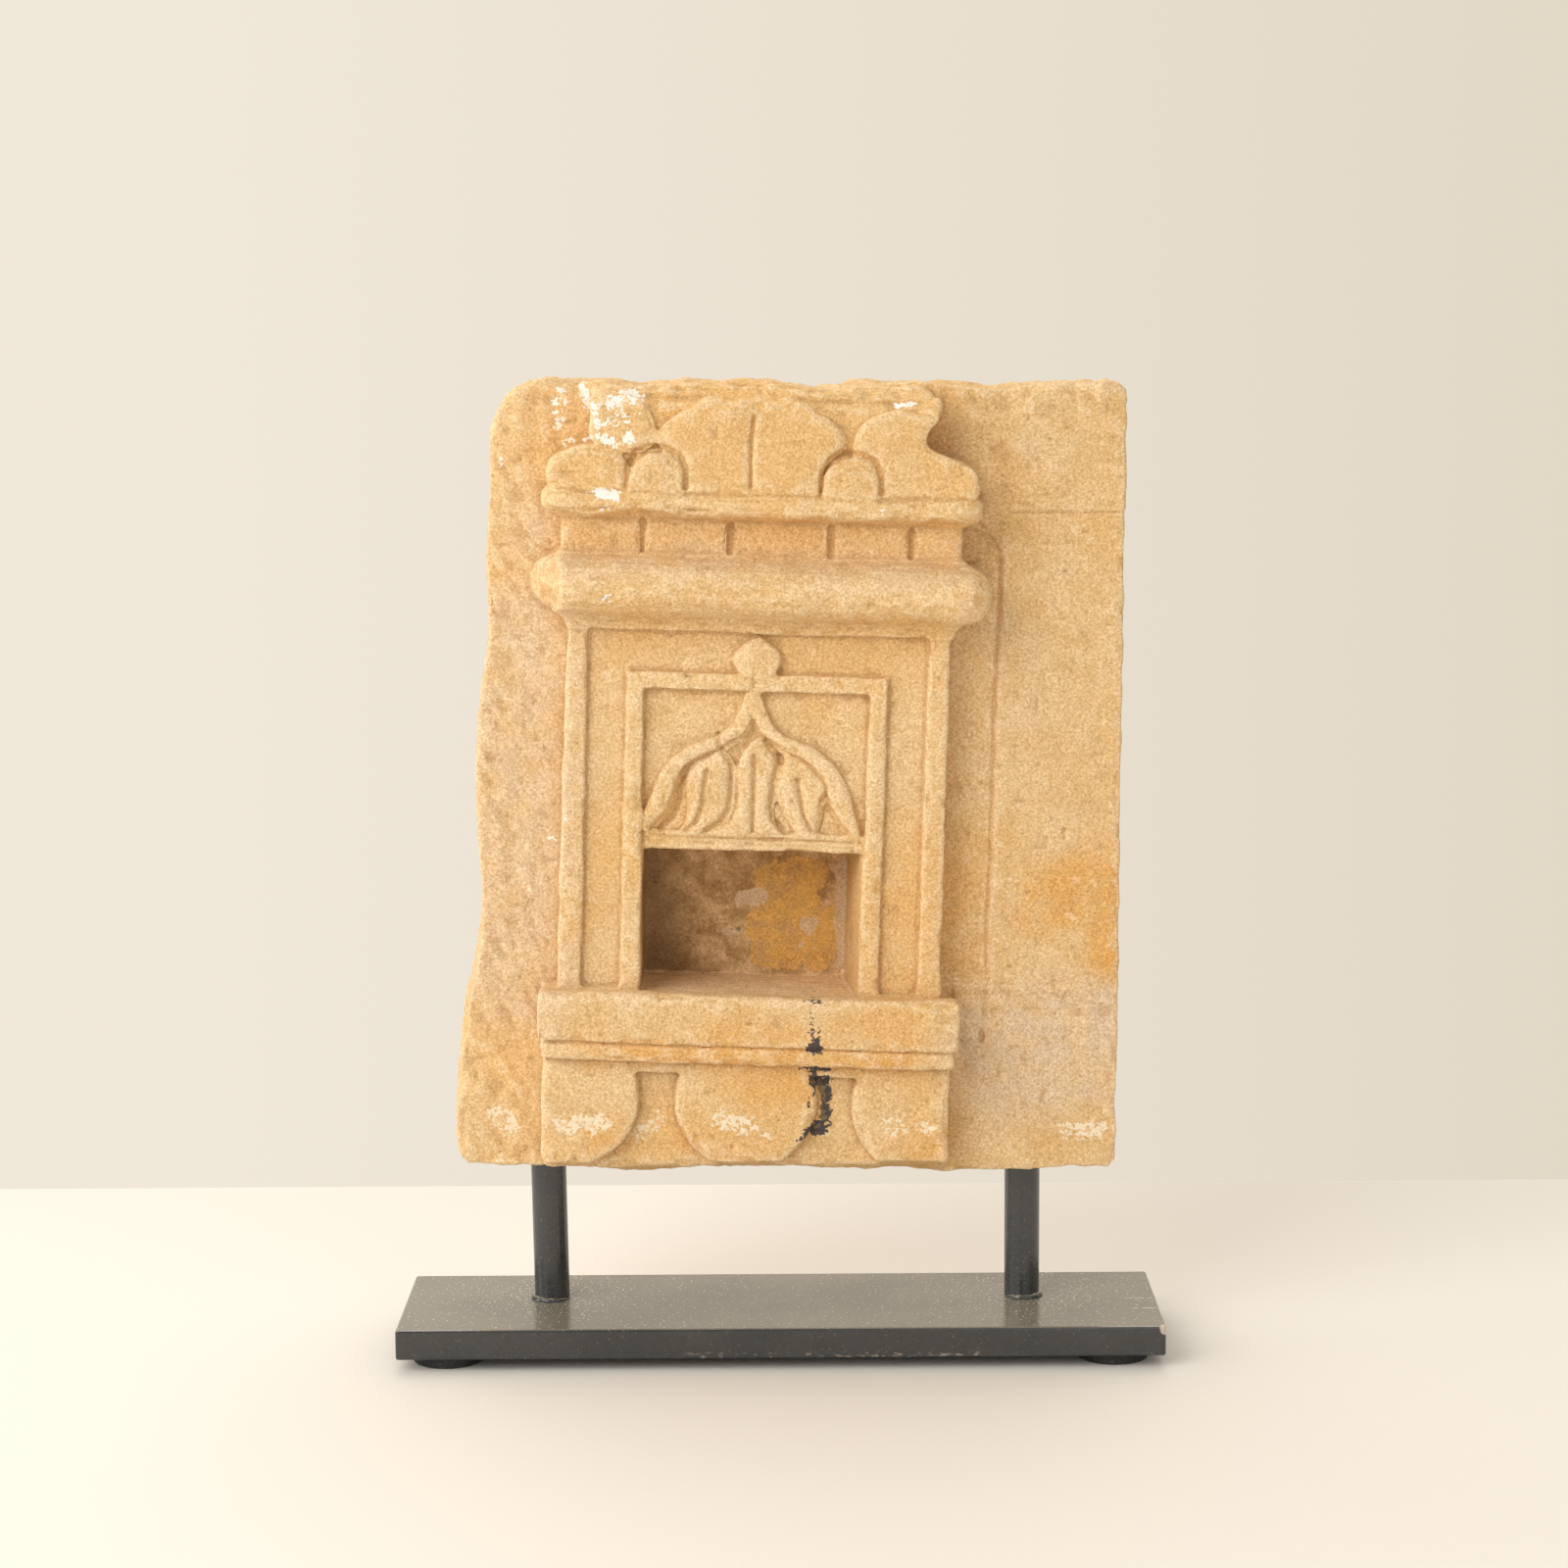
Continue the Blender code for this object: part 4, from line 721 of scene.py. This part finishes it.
def write_marks(mesh):
    """Writes the marks and the surface's own height onto the mesh as numbers that the shader reads."""
    points = mesh_points(mesh)
    normals = mesh_normals(mesh)
    in_mm = points / MM
    u, v = carving_place(in_mm)
    y = in_mm[:, 1]
    front = step(-normals[:, 1], *MARKED_FACING)
    inside = step(np.abs(u), *MARKED_NICHE_U_MM) * step(v, *MARKED_NICHE_HEAD_V_MM)
    inside *= step(v, *NICHE_FOOT_V_MM) * step(y, *NICHE_END_Y_MM)
    parts = {
        "front": front * (1.0 - inside),
        "sill": front * step(y, *MARKED_SILL_Y_MM),
        "niche_back": inside * step(y, *MARKED_NICHE_BACK_Y_MM),
    }
    values = {}
    for name, (strokes, softness, part) in MARKS.items():
        values[name] = cover(u, v, strokes, softness) * parts[part]

    # The dirt with painted shade thins out on the up-facing floor and on the lit right wall; at the left it
    # deepens into dirt with a painted shadow.
    less_dirt_and_shade = LESS_DIRT_AND_SHADE_ON_FLOOR * step(normals[:, 2], *FLOOR_FACING)
    less_dirt_and_shade += LESS_DIRT_AND_SHADE_ON_RIGHT_WALL * step(-normals[:, 0], *RIGHT_WALL_FACING)
    values["niche"] = inside * step(y, *DIRT_AND_SHADE_Y_MM) * (1.0 - less_dirt_and_shade)
    values["niche_left_dirt_and_shadow"] = values["niche"] * step(u + LEFT_DIRT_AND_SHADOW_SLOPE * (v - LEFT_DIRT_AND_SHADOW_MIDDLE_V_MM), *LEFT_DIRT_AND_SHADOW_U_MM)
    values["height"] = height_above(points, normals, mesh_net(mesh), MARK_HEIGHT_ROUNDS)
    for name, numbers in values.items():
        attribute = mesh.attributes.new(name, "FLOAT", "POINT")
        attribute.data.foreach_set("value", numbers.astype(np.float32))


def make_stone():
    """The worn stone, made from the solid's own mesh."""
    stone = bpy.data.objects.new("stone_worn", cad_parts["stone_niche"].data.copy())
    bpy.context.scene.collection.objects.link(stone)
    weld = stone.modifiers.new("weld", "WELD")
    weld.merge_threshold = WELD_DISTANCE
    voxels = stone.modifiers.new("voxels", "REMESH")
    voxels.mode = "VOXEL"
    voxels.voxel_size = VOXEL
    voxels.use_smooth_shade = True
    apply_modifiers(stone)

    mesh = stone.data
    net = mesh_net(mesh)
    normals = mesh_normals(mesh)
    points = reshaped(mesh_points(mesh) / MM) * MM
    crease = height_above(points, normals, net, CREASE_ROUNDS)
    points = wear(points, normals, net)
    height = height_above(points, normals, net, HEIGHT_ROUNDS)
    out = relief(Surface(points / MM, normals), height, crease)
    lines = line_depth(points / MM)
    points = points + normals * out[:, None] * MM
    points[:, 1] += lines * MM
    points = clear_of_rods(points)
    mesh.vertices.foreach_set("co", points.astype(np.float32).ravel())
    mesh.update()

    # Each of the remeshed faces is two triangles.
    fewer = stone.modifiers.new("fewer", "DECIMATE")
    fewer.ratio = STONE_TRIANGLES / (2.0 * len(mesh.polygons))
    apply_modifiers(stone)
    stone.data.shade_smooth()
    write_marks(stone.data)
    return stone


def make_weld(name, rod, start_turn, end_turn, thickness, seed):
    """A low uneven bead on the plate round part of a rod's foot, with turns in degrees."""
    start, _, bottom, _, radius = rod_line(rod)
    turns = np.linspace(math.radians(start_turn), math.radians(end_turn), WELD_RINGS)
    ends = np.sin(np.linspace(0.0, math.pi, WELD_RINGS)) ** WELD_END_ROUNDING
    points = []
    for turn, end in zip(turns, ends):
        size = thickness * end
        for side in range(WELD_SIDES):
            angle = 2.0 * math.pi * side / WELD_SIDES
            out = radius + size * math.cos(angle)
            up = size * WELD_FLATNESS * math.sin(angle)
            points.append((start[0] + out * math.cos(turn), start[1] + out * math.sin(turn), bottom + up))
    points = np.array(points)
    strength, width = WELD_ROUGHNESS
    uneven = strength * MM * noise(points / MM, width, seed)
    points += uneven[:, None] * ends.repeat(WELD_SIDES)[:, None]
    faces = []
    for ring in range(WELD_RINGS - 1):
        low, high = ring * WELD_SIDES, (ring + 1) * WELD_SIDES
        for side in range(WELD_SIDES):
            after = (side + 1) % WELD_SIDES
            faces.append((low + side, high + side, high + after, low + after))
    faces.append(tuple(range(WELD_SIDES)))
    faces.append(tuple(reversed(range((WELD_RINGS - 1) * WELD_SIDES, WELD_RINGS * WELD_SIDES))))
    mesh = bpy.data.meshes.new(name)
    mesh.from_pydata(points.tolist(), [], faces)
    mesh.shade_smooth()
    bead = bpy.data.objects.new(name, mesh)
    bpy.context.scene.collection.objects.link(bead)
    return bead


class Shader:
    """A Principled material that is built up node by node."""

    def __init__(self, name):
        self.material = bpy.data.materials.new(name)
        self.material.use_nodes = True
        self.tree = self.material.node_tree
        self.surface = self.tree.nodes["Principled BSDF"]
        self.place = self.tree.nodes.new("ShaderNodeTexCoord").outputs["Object"]

    def feed(self, socket, value):
        if isinstance(value, bpy.types.NodeSocket):
            self.tree.links.new(value, socket)
        else:
            socket.default_value = value

    def set(self, name, value):
        self.feed(self.surface.inputs[name], value)

    def noise(self, scale, detail=2.0, roughness=0.5, place=None):
        node = self.tree.nodes.new("ShaderNodeTexNoise")
        self.feed(node.inputs["Vector"], place or self.place)
        node.inputs["Scale"].default_value = scale
        node.inputs["Detail"].default_value = detail
        node.inputs["Roughness"].default_value = roughness
        return node.outputs["Fac"]

    def grains(self, scale):
        """A random number from 0 to 1 for each of many small cells."""
        node = self.tree.nodes.new("ShaderNodeTexVoronoi")
        self.feed(node.inputs["Vector"], self.place)
        node.inputs["Scale"].default_value = scale
        split = self.tree.nodes.new("ShaderNodeSeparateColor")
        self.feed(split.inputs["Color"], node.outputs["Color"])
        return split.outputs["Red"]

    def stretched(self, scale, turn=(0.0, 0.0, 0.0)):
        """The surface's place turned and scaled, so that noise draws into streaks."""
        node = self.tree.nodes.new("ShaderNodeMapping")
        self.feed(node.inputs["Vector"], self.place)
        node.inputs["Scale"].default_value = scale
        node.inputs["Rotation"].default_value = turn
        return node.outputs["Vector"]

    def facing_up(self):
        """How far the surface faces up, from -1 to 1."""
        geometry = self.tree.nodes.new("ShaderNodeNewGeometry")
        split = self.tree.nodes.new("ShaderNodeSeparateXYZ")
        self.feed(split.inputs["Vector"], geometry.outputs["Normal"])
        return split.outputs["Z"]

    def mark(self, name):
        """One of the numbers that are written onto the mesh."""
        node = self.tree.nodes.new("ShaderNodeAttribute")
        node.attribute_name = name
        return node.outputs["Fac"]

    def calculate(self, operation, first, second):
        node = self.tree.nodes.new("ShaderNodeMath")
        node.operation = operation
        self.feed(node.inputs[0], first)
        self.feed(node.inputs[1], second)
        return node.outputs[0]

    def times(self, first, second):
        return self.calculate("MULTIPLY", first, second)

    def plus(self, first, second):
        return self.calculate("ADD", first, second)

    def larger(self, first, second):
        return self.calculate("MAXIMUM", first, second)

    def swing(self, value, strength):
        """A number from 0 to 1 made to swing about 0, times a strength."""
        return self.times(self.calculate("SUBTRACT", value, 0.5), strength)

    def step(self, value, low, high, start=0.0, end=1.0):
        """Goes smoothly from start to end while the value goes from low to high."""
        node = self.tree.nodes.new("ShaderNodeMapRange")
        node.interpolation_type = "SMOOTHSTEP"
        self.feed(node.inputs["Value"], value)
        node.inputs["From Min"].default_value = low
        node.inputs["From Max"].default_value = high
        node.inputs["To Min"].default_value = start
        node.inputs["To Max"].default_value = end
        return node.outputs["Result"]

    def mix(self, share, first, second, blend="MIX"):
        """Two colours mixed, with more of the second as the share grows."""
        node = self.tree.nodes.new("ShaderNodeMix")
        node.data_type = "RGBA"
        node.blend_type = blend
        self.feed(node.inputs[0], share)
        self.feed(node.inputs[6], first)
        self.feed(node.inputs[7], second)
        return node.outputs[2]

    def blot(self, name, ragged, low, high, most):
        """A mark with a ragged edge, kept where its strokes reach."""
        mark = self.mark(name)
        reach = self.step(mark, 0.02, 0.12)
        return self.times(reach, self.step(self.plus(mark, ragged), low, high, 0.0, most))

    def axes(self):
        """X, Y and Z of the surface's place."""
        node = self.tree.nodes.new("ShaderNodeSeparateXYZ")
        self.feed(node.inputs["Vector"], self.place)
        return node.outputs["X"], node.outputs["Y"], node.outputs["Z"]

    def distance(self, point):
        """How far the surface is from a point."""
        node = self.tree.nodes.new("ShaderNodeVectorMath")
        node.operation = "DISTANCE"
        self.feed(node.inputs[0], self.place)
        node.inputs[1].default_value = point
        return node.outputs["Value"]

    def band(self, value, middle, half):
        """1 up to a quarter of the band's width from a middle value, falling to 0 at half of it."""
        away = self.calculate("ABSOLUTE", self.calculate("SUBTRACT", value, middle), 0.0)
        return self.step(away, half, 0.5 * half)

    def scratch(self, x, y, middle, half, start):
        """A thin crisp line along X, from its start to the plate's end."""
        return self.times(self.step(self.band(y, middle, half), 0.0, 1.0), self.step(x, *start))

    def bump(self, height, distance, normal=None):
        node = self.tree.nodes.new("ShaderNodeBump")
        self.feed(node.inputs["Height"], height)
        node.inputs["Distance"].default_value = distance
        if normal is not None:
            self.feed(node.inputs["Normal"], normal)
        return node.outputs["Normal"]


def stained_and_shaded_stone(s):
    """The stone's own colours, its mauve and orange stains, its hollows browner with dirt and painted shade,
    and its raised edges paler with wear and a painted highlight.
    """
    patches = s.noise(24.0, 2.0, 0.5)
    spots_of_amber = s.noise(75.0, 2.0, 0.5)
    colour = s.mix(s.step(patches, 0.35, 0.65), GOLD, STRAW)
    colour = s.mix(s.step(spots_of_amber, 0.45, 0.70, 0.0, 0.45), colour, AMBER)

    mauve_mottle = s.step(s.noise(90.0, 2.0, 0.5), 0.30, 0.65, 0.4, 1.0)
    orange_mottle = s.step(s.noise(60.0, 3.0, 0.55), 0.35, 0.55, 0.3, 1.0)
    colour = s.mix(s.times(s.mark("mauve"), mauve_mottle), colour, MAUVE_STAIN)
    colour = s.mix(s.times(s.mark("orange"), orange_mottle), colour, ORANGE_STAIN)

    # Painted shade browns the hollows along with their dirt, and a painted highlight pales the raised edges
    # along with their wear.
    height = s.mark("height")
    colour = s.mix(s.step(height, -0.10, -0.36, 0.0, 0.45), colour, HOLLOW_DIRT_AND_SHADE)
    return s.mix(s.step(height, 0.12, 0.42, 0.0, 0.45), colour, WORN_EDGE_AND_HIGHLIGHT)


def dirty_and_shaded_niche(s, colour):
    """The niche's brown dirt with painted shade, darker at its left with dirt and a painted shadow, its paler
    streaked floor with painted light, and an ochre patch with paler ones round it.
    """
    dirt_and_shade = s.mix(s.step(s.noise(70.0, 6.0, 0.7), 0.38, 0.62), DARK_DIRT_AND_SHADE, PALE_DIRT_AND_SHADE)
    # Painted shade with dirt, deepening from the niche's mouth to its back, and a painted shadow with dirt at
    # its left.
    colour = s.mix(s.step(s.mark("niche"), 0.05, 0.85, 0.0, 0.92), colour, dirt_and_shade)
    colour = s.mix(s.step(s.mark("niche_left_dirt_and_shadow"), 0.0, 1.0, 0.0, 0.75), colour, LEFT_DIRT_AND_SHADOW)
    # Painted light with streaks on the niche's up-facing floor.
    streaks = s.noise(90.0, 3.0, 0.6, s.stretched((1.0, 7.0, 1.0), (0.0, 0.0, 0.45)))
    niche_floor = s.times(s.step(s.mark("niche"), 0.02, 0.2), s.step(s.facing_up(), 0.6, 0.9))
    colour = s.mix(s.times(niche_floor, s.step(streaks, 0.35, 0.65, 0.2, 0.95)), colour, LIT_STREAKED_FLOOR)

    ragged = s.plus(s.swing(s.noise(260.0, 3.0, 0.6), 0.8), s.swing(s.noise(110.0, 2.0), 1.3))
    ochre = s.mix(s.step(s.noise(120.0, 5.0, 0.65), 0.40, 0.62), BRIGHT_OCHRE, DULL_OCHRE)
    colour = s.mix(s.step(s.plus(s.mark("ochre"), ragged), 0.44, 0.50, 0.0, 0.92), colour, ochre)
    return s.mix(s.step(s.plus(s.mark("pale"), ragged), 0.46, 0.56, 0.0, 0.8), colour, PALE_PATCH)


def grainy(s, colour, grain):
    """Sand grains: the dark ones are browner and the bright ones paler."""
    fine = s.step(s.noise(1000.0, 4.0, 0.7), 0.33, 0.67, 0.0, 0.58)
    tint = s.mix(s.plus(s.times(grain, 0.42), fine), BROWN_TINT, PALE_TINT)
    colour = s.mix(1.0, colour, tint, "MULTIPLY")
    return s.mix(s.step(s.noise(600.0, 3.0, 0.6), 0.64, 0.70, 0.0, 0.42), colour, DARK_GRAIN)


def sandstone():
    """Worn sandstone, with white lime, cream patches and a black drip on top of its grain."""
    s = Shader("sandstone")
    grain = s.grains(1400.0)
    colour = grainy(s, dirty_and_shaded_niche(s, stained_and_shaded_stone(s)), grain)

    broken = s.plus(s.swing(s.noise(700.0, 2.0, 0.6), 2.6), s.swing(s.noise(240.0), 1.6))
    colour = s.mix(s.blot("cream", broken, 0.46, 0.60, 0.85), colour, CREAM_PATCH)
    colour = s.mix(s.blot("lime", broken, 0.50, 0.60, 1.0), colour, WHITE_LIME)
    drip = s.blot("drip", s.times(broken, 0.8), 0.46, 0.54, 0.95)
    tar = s.mix(s.blot("khaki", broken, 0.45, 0.6, 0.9), BLACK_TAR, KHAKI_TAR)
    s.set("Base Color", s.mix(drip, colour, tar))
    s.set("Roughness", s.step(drip, 0.0, 1.0, 0.93, 0.55))
    s.set("Specular IOR Level", 0.22)
    coarse = s.bump(s.noise(480.0, 5.0, 0.7), 0.62 * MM)
    s.set("Normal", s.bump(grain, 0.14 * MM, coarse))
    return s.material


def bare_places(s, top):
    """Scratches at the plate's right end, a chipped corner, and scuffs along the front's lower edge."""
    x, y, z = s.axes()
    scratches = s.larger(s.scratch(x, y, *FIRST_SCRATCH), s.scratch(x, y, *SECOND_SCRATCH))
    bare = s.times(scratches, s.times(top, s.step(s.noise(300.0), 0.40, 0.52)))
    corner = s.plus(s.distance(CHIPPED_CORNER), s.times(s.noise(420.0, 3.0, 0.6), CHIP_UNEVENNESS))
    bare = s.larger(bare, s.step(corner, *CHIP_REACH, 0.0, 0.7))
    low_front = s.times(s.step(z, *SCUFF_Z), s.step(y, *SCUFF_Y))
    scuffed = s.times(low_front, s.step(s.band(x, SCUFF_X, SCUFF_HALF), 0.0, 0.8))
    long_noise = s.noise(900.0, 3.0, 0.6, s.stretched((0.3, 1.0, 1.0)))
    return s.larger(bare, s.times(scuffed, s.step(long_noise, 0.56, 0.66, 0.0, 0.4)))


def steel():
    """Dark satin paint, paler on top with dust and a painted sheen, with stone dust that is thickest round
    the rods' feet.
    """
    s = Shader("painted_steel")
    colour = s.mix(s.step(s.noise(45.0, 4.0, 0.6), 0.35, 0.65), DARK_PAINT, LIGHT_PAINT)
    top = s.step(s.facing_up(), 0.7, 0.95)
    # Painted sheen with dust: the top-facing paint is paled.
    dust_and_sheen = s.step(s.noise(18.0, 3.0, 0.5), 0.3, 0.7, 0.38, 0.52)
    colour = s.mix(s.times(top, dust_and_sheen), colour, PLATE_DUST_AND_SHEEN)

    foot = s.calculate("MINIMUM", s.distance(LEFT_ROD_FOOT), s.distance(RIGHT_ROD_FOOT))
    crumbs = s.plus(s.noise(950.0, 1.0, 0.5), s.times(s.step(foot, *DUST_REACH), 0.055))
    dust = s.times(s.step(crumbs, 0.685, 0.73, 0.0, 0.95), s.step(top, 0.0, 1.0, 0.06, 1.0))
    colour = s.mix(dust, colour, STONE_DUST)
    s.set("Base Color", s.mix(bare_places(s, top), colour, BARE_STEEL))
    s.set("Roughness", s.step(s.noise(120.0, 5.0, 0.7), 0.3, 0.7, 0.17, 0.25))
    s.set("Specular IOR Level", 0.85)
    s.set("Normal", s.bump(s.noise(500.0, 3.0, 0.6), 0.05 * MM))
    return s.material


def rubber():
    s = Shader("rubber")
    dust = s.step(s.noise(600.0, 3.0, 0.6), 0.5, 0.75)
    s.set("Base Color", s.mix(dust, BLACK_RUBBER, DUSTY_RUBBER))
    s.set("Roughness", s.step(s.noise(300.0), 0.3, 0.7, 0.72, 0.88))
    s.set("Normal", s.bump(s.noise(1800.0, 2.0), 0.08 * MM))
    return s.material


def floor_material():
    s = Shader("pale_floor")
    s.set("Base Color", FLOOR_COLOUR)
    s.set("Roughness", 0.6)
    s.set("Specular IOR Level", 0.2)
    return s.material


def make_floor():
    mesh = bpy.data.meshes.new("floor")
    corners = ((-FLOOR_HALF, FLOOR_FRONT_Y, 0.0), (FLOOR_HALF, FLOOR_FRONT_Y, 0.0),
               (FLOOR_HALF, FLOOR_BACK_Y, 0.0), (-FLOOR_HALF, FLOOR_BACK_Y, 0.0))
    mesh.from_pydata(corners, [], [(0, 1, 2, 3)])
    floor = bpy.data.objects.new("floor", mesh)
    bpy.context.scene.collection.objects.link(floor)
    floor.data.materials.append(floor_material())


def add_light(name, place, target, width, power, colour):
    """A soft square light that faces its target."""
    data = bpy.data.lights.new(name, "AREA")
    data.shape = "SQUARE"
    data.size = width
    data.energy = power
    data.color = colour
    light = bpy.data.objects.new(name, data)
    bpy.context.scene.collection.objects.link(light)
    light.location = place
    light.rotation_euler = (Vector(target) - Vector(place)).to_track_quat("-Z", "Y").to_euler()


def world_share(tree, value, low, high):
    """0 to 1 while a direction's part goes from low to high."""
    node = tree.nodes.new("ShaderNodeMapRange")
    node.inputs["From Min"].default_value = low
    node.inputs["From Max"].default_value = high
    tree.links.new(value, node.inputs["Value"])
    return node.outputs["Result"]


def world_mix(tree, share, first):
    """A colour mix in the world's nodes, returned with its second colour still to be given."""
    node = tree.nodes.new("ShaderNodeMix")
    node.data_type = "RGBA"
    node.inputs[6].default_value = first
    tree.links.new(share, node.inputs[0])
    return node


def make_world():
    """A pale backdrop behind the object, darker towards the right, and grey all round in front of it."""
    world = bpy.data.worlds.new("studio")
    world.use_nodes = True
    tree = world.node_tree
    split = tree.nodes.new("ShaderNodeSeparateXYZ")
    tree.links.new(tree.nodes.new("ShaderNodeTexCoord").outputs["Generated"], split.inputs["Vector"])
    across = world_share(tree, split.outputs["X"], *BACKDROP_ACROSS)
    backdrop = world_mix(tree, across, BACKDROP_LEFT_COLOUR)
    backdrop.inputs[7].default_value = BACKDROP_RIGHT_COLOUR
    behind = world_share(tree, split.outputs["Y"], *SURROUND_TO_BACKDROP)
    colours = world_mix(tree, behind, SURROUND_COLOUR)
    tree.links.new(backdrop.outputs[2], colours.inputs[7])
    tree.links.new(colours.outputs[2], tree.nodes["Background"].inputs["Color"])
    return world


def light_scene():
    scene = bpy.context.scene
    scene.world = make_world()
    scene.view_settings.view_transform = "Standard"
    for light in LIGHTS:
        add_light(*light)


def add_camera():
    """The camera at the photograph's place, turned by its yaw and pitch and then rolled."""
    level = Vector((math.cos(CAMERA_YAW), -math.sin(CAMERA_YAW), 0.0))
    ahead = math.cos(CAMERA_PITCH)
    forward = Vector((math.sin(CAMERA_YAW) * ahead, math.cos(CAMERA_YAW) * ahead, -math.sin(CAMERA_PITCH)))
    down = forward.cross(level)
    right = math.cos(CAMERA_ROLL) * level + math.sin(CAMERA_ROLL) * down
    up = math.sin(CAMERA_ROLL) * level - math.cos(CAMERA_ROLL) * down
    data = bpy.data.cameras.new("camera")
    data.lens = CAMERA_LENS_MM
    data.sensor_width = CAMERA_SENSOR_MM
    camera = bpy.data.objects.new("camera", data)
    bpy.context.scene.collection.objects.link(camera)
    camera.matrix_world = Matrix((
        (right.x, up.x, -forward.x, CAMERA_PLACE[0]),
        (right.y, up.y, -forward.y, CAMERA_PLACE[1]),
        (right.z, up.z, -forward.z, CAMERA_PLACE[2]),
        (0.0, 0.0, 0.0, 1.0)))
    bpy.context.scene.camera = camera


def paint(thing, material):
    thing.data.materials.clear()
    thing.data.materials.append(material)


stone = make_stone()
paint(stone, sandstone())
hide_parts("stone_niche")
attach(stone, "root")

painted_steel = steel()
for node_name in ("base_plate", "rod_left", "rod_right"):
    paint(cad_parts[node_name], painted_steel)
black_rubber = rubber()
for node_name in ("foot_front_left", "foot_front_right", "foot_back_left", "foot_back_right"):
    paint(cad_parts[node_name], black_rubber)

for weld in WELDS:
    bead = make_weld(*weld)
    paint(bead, painted_steel)
    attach(bead, "root")

make_floor()
light_scene()
add_camera()
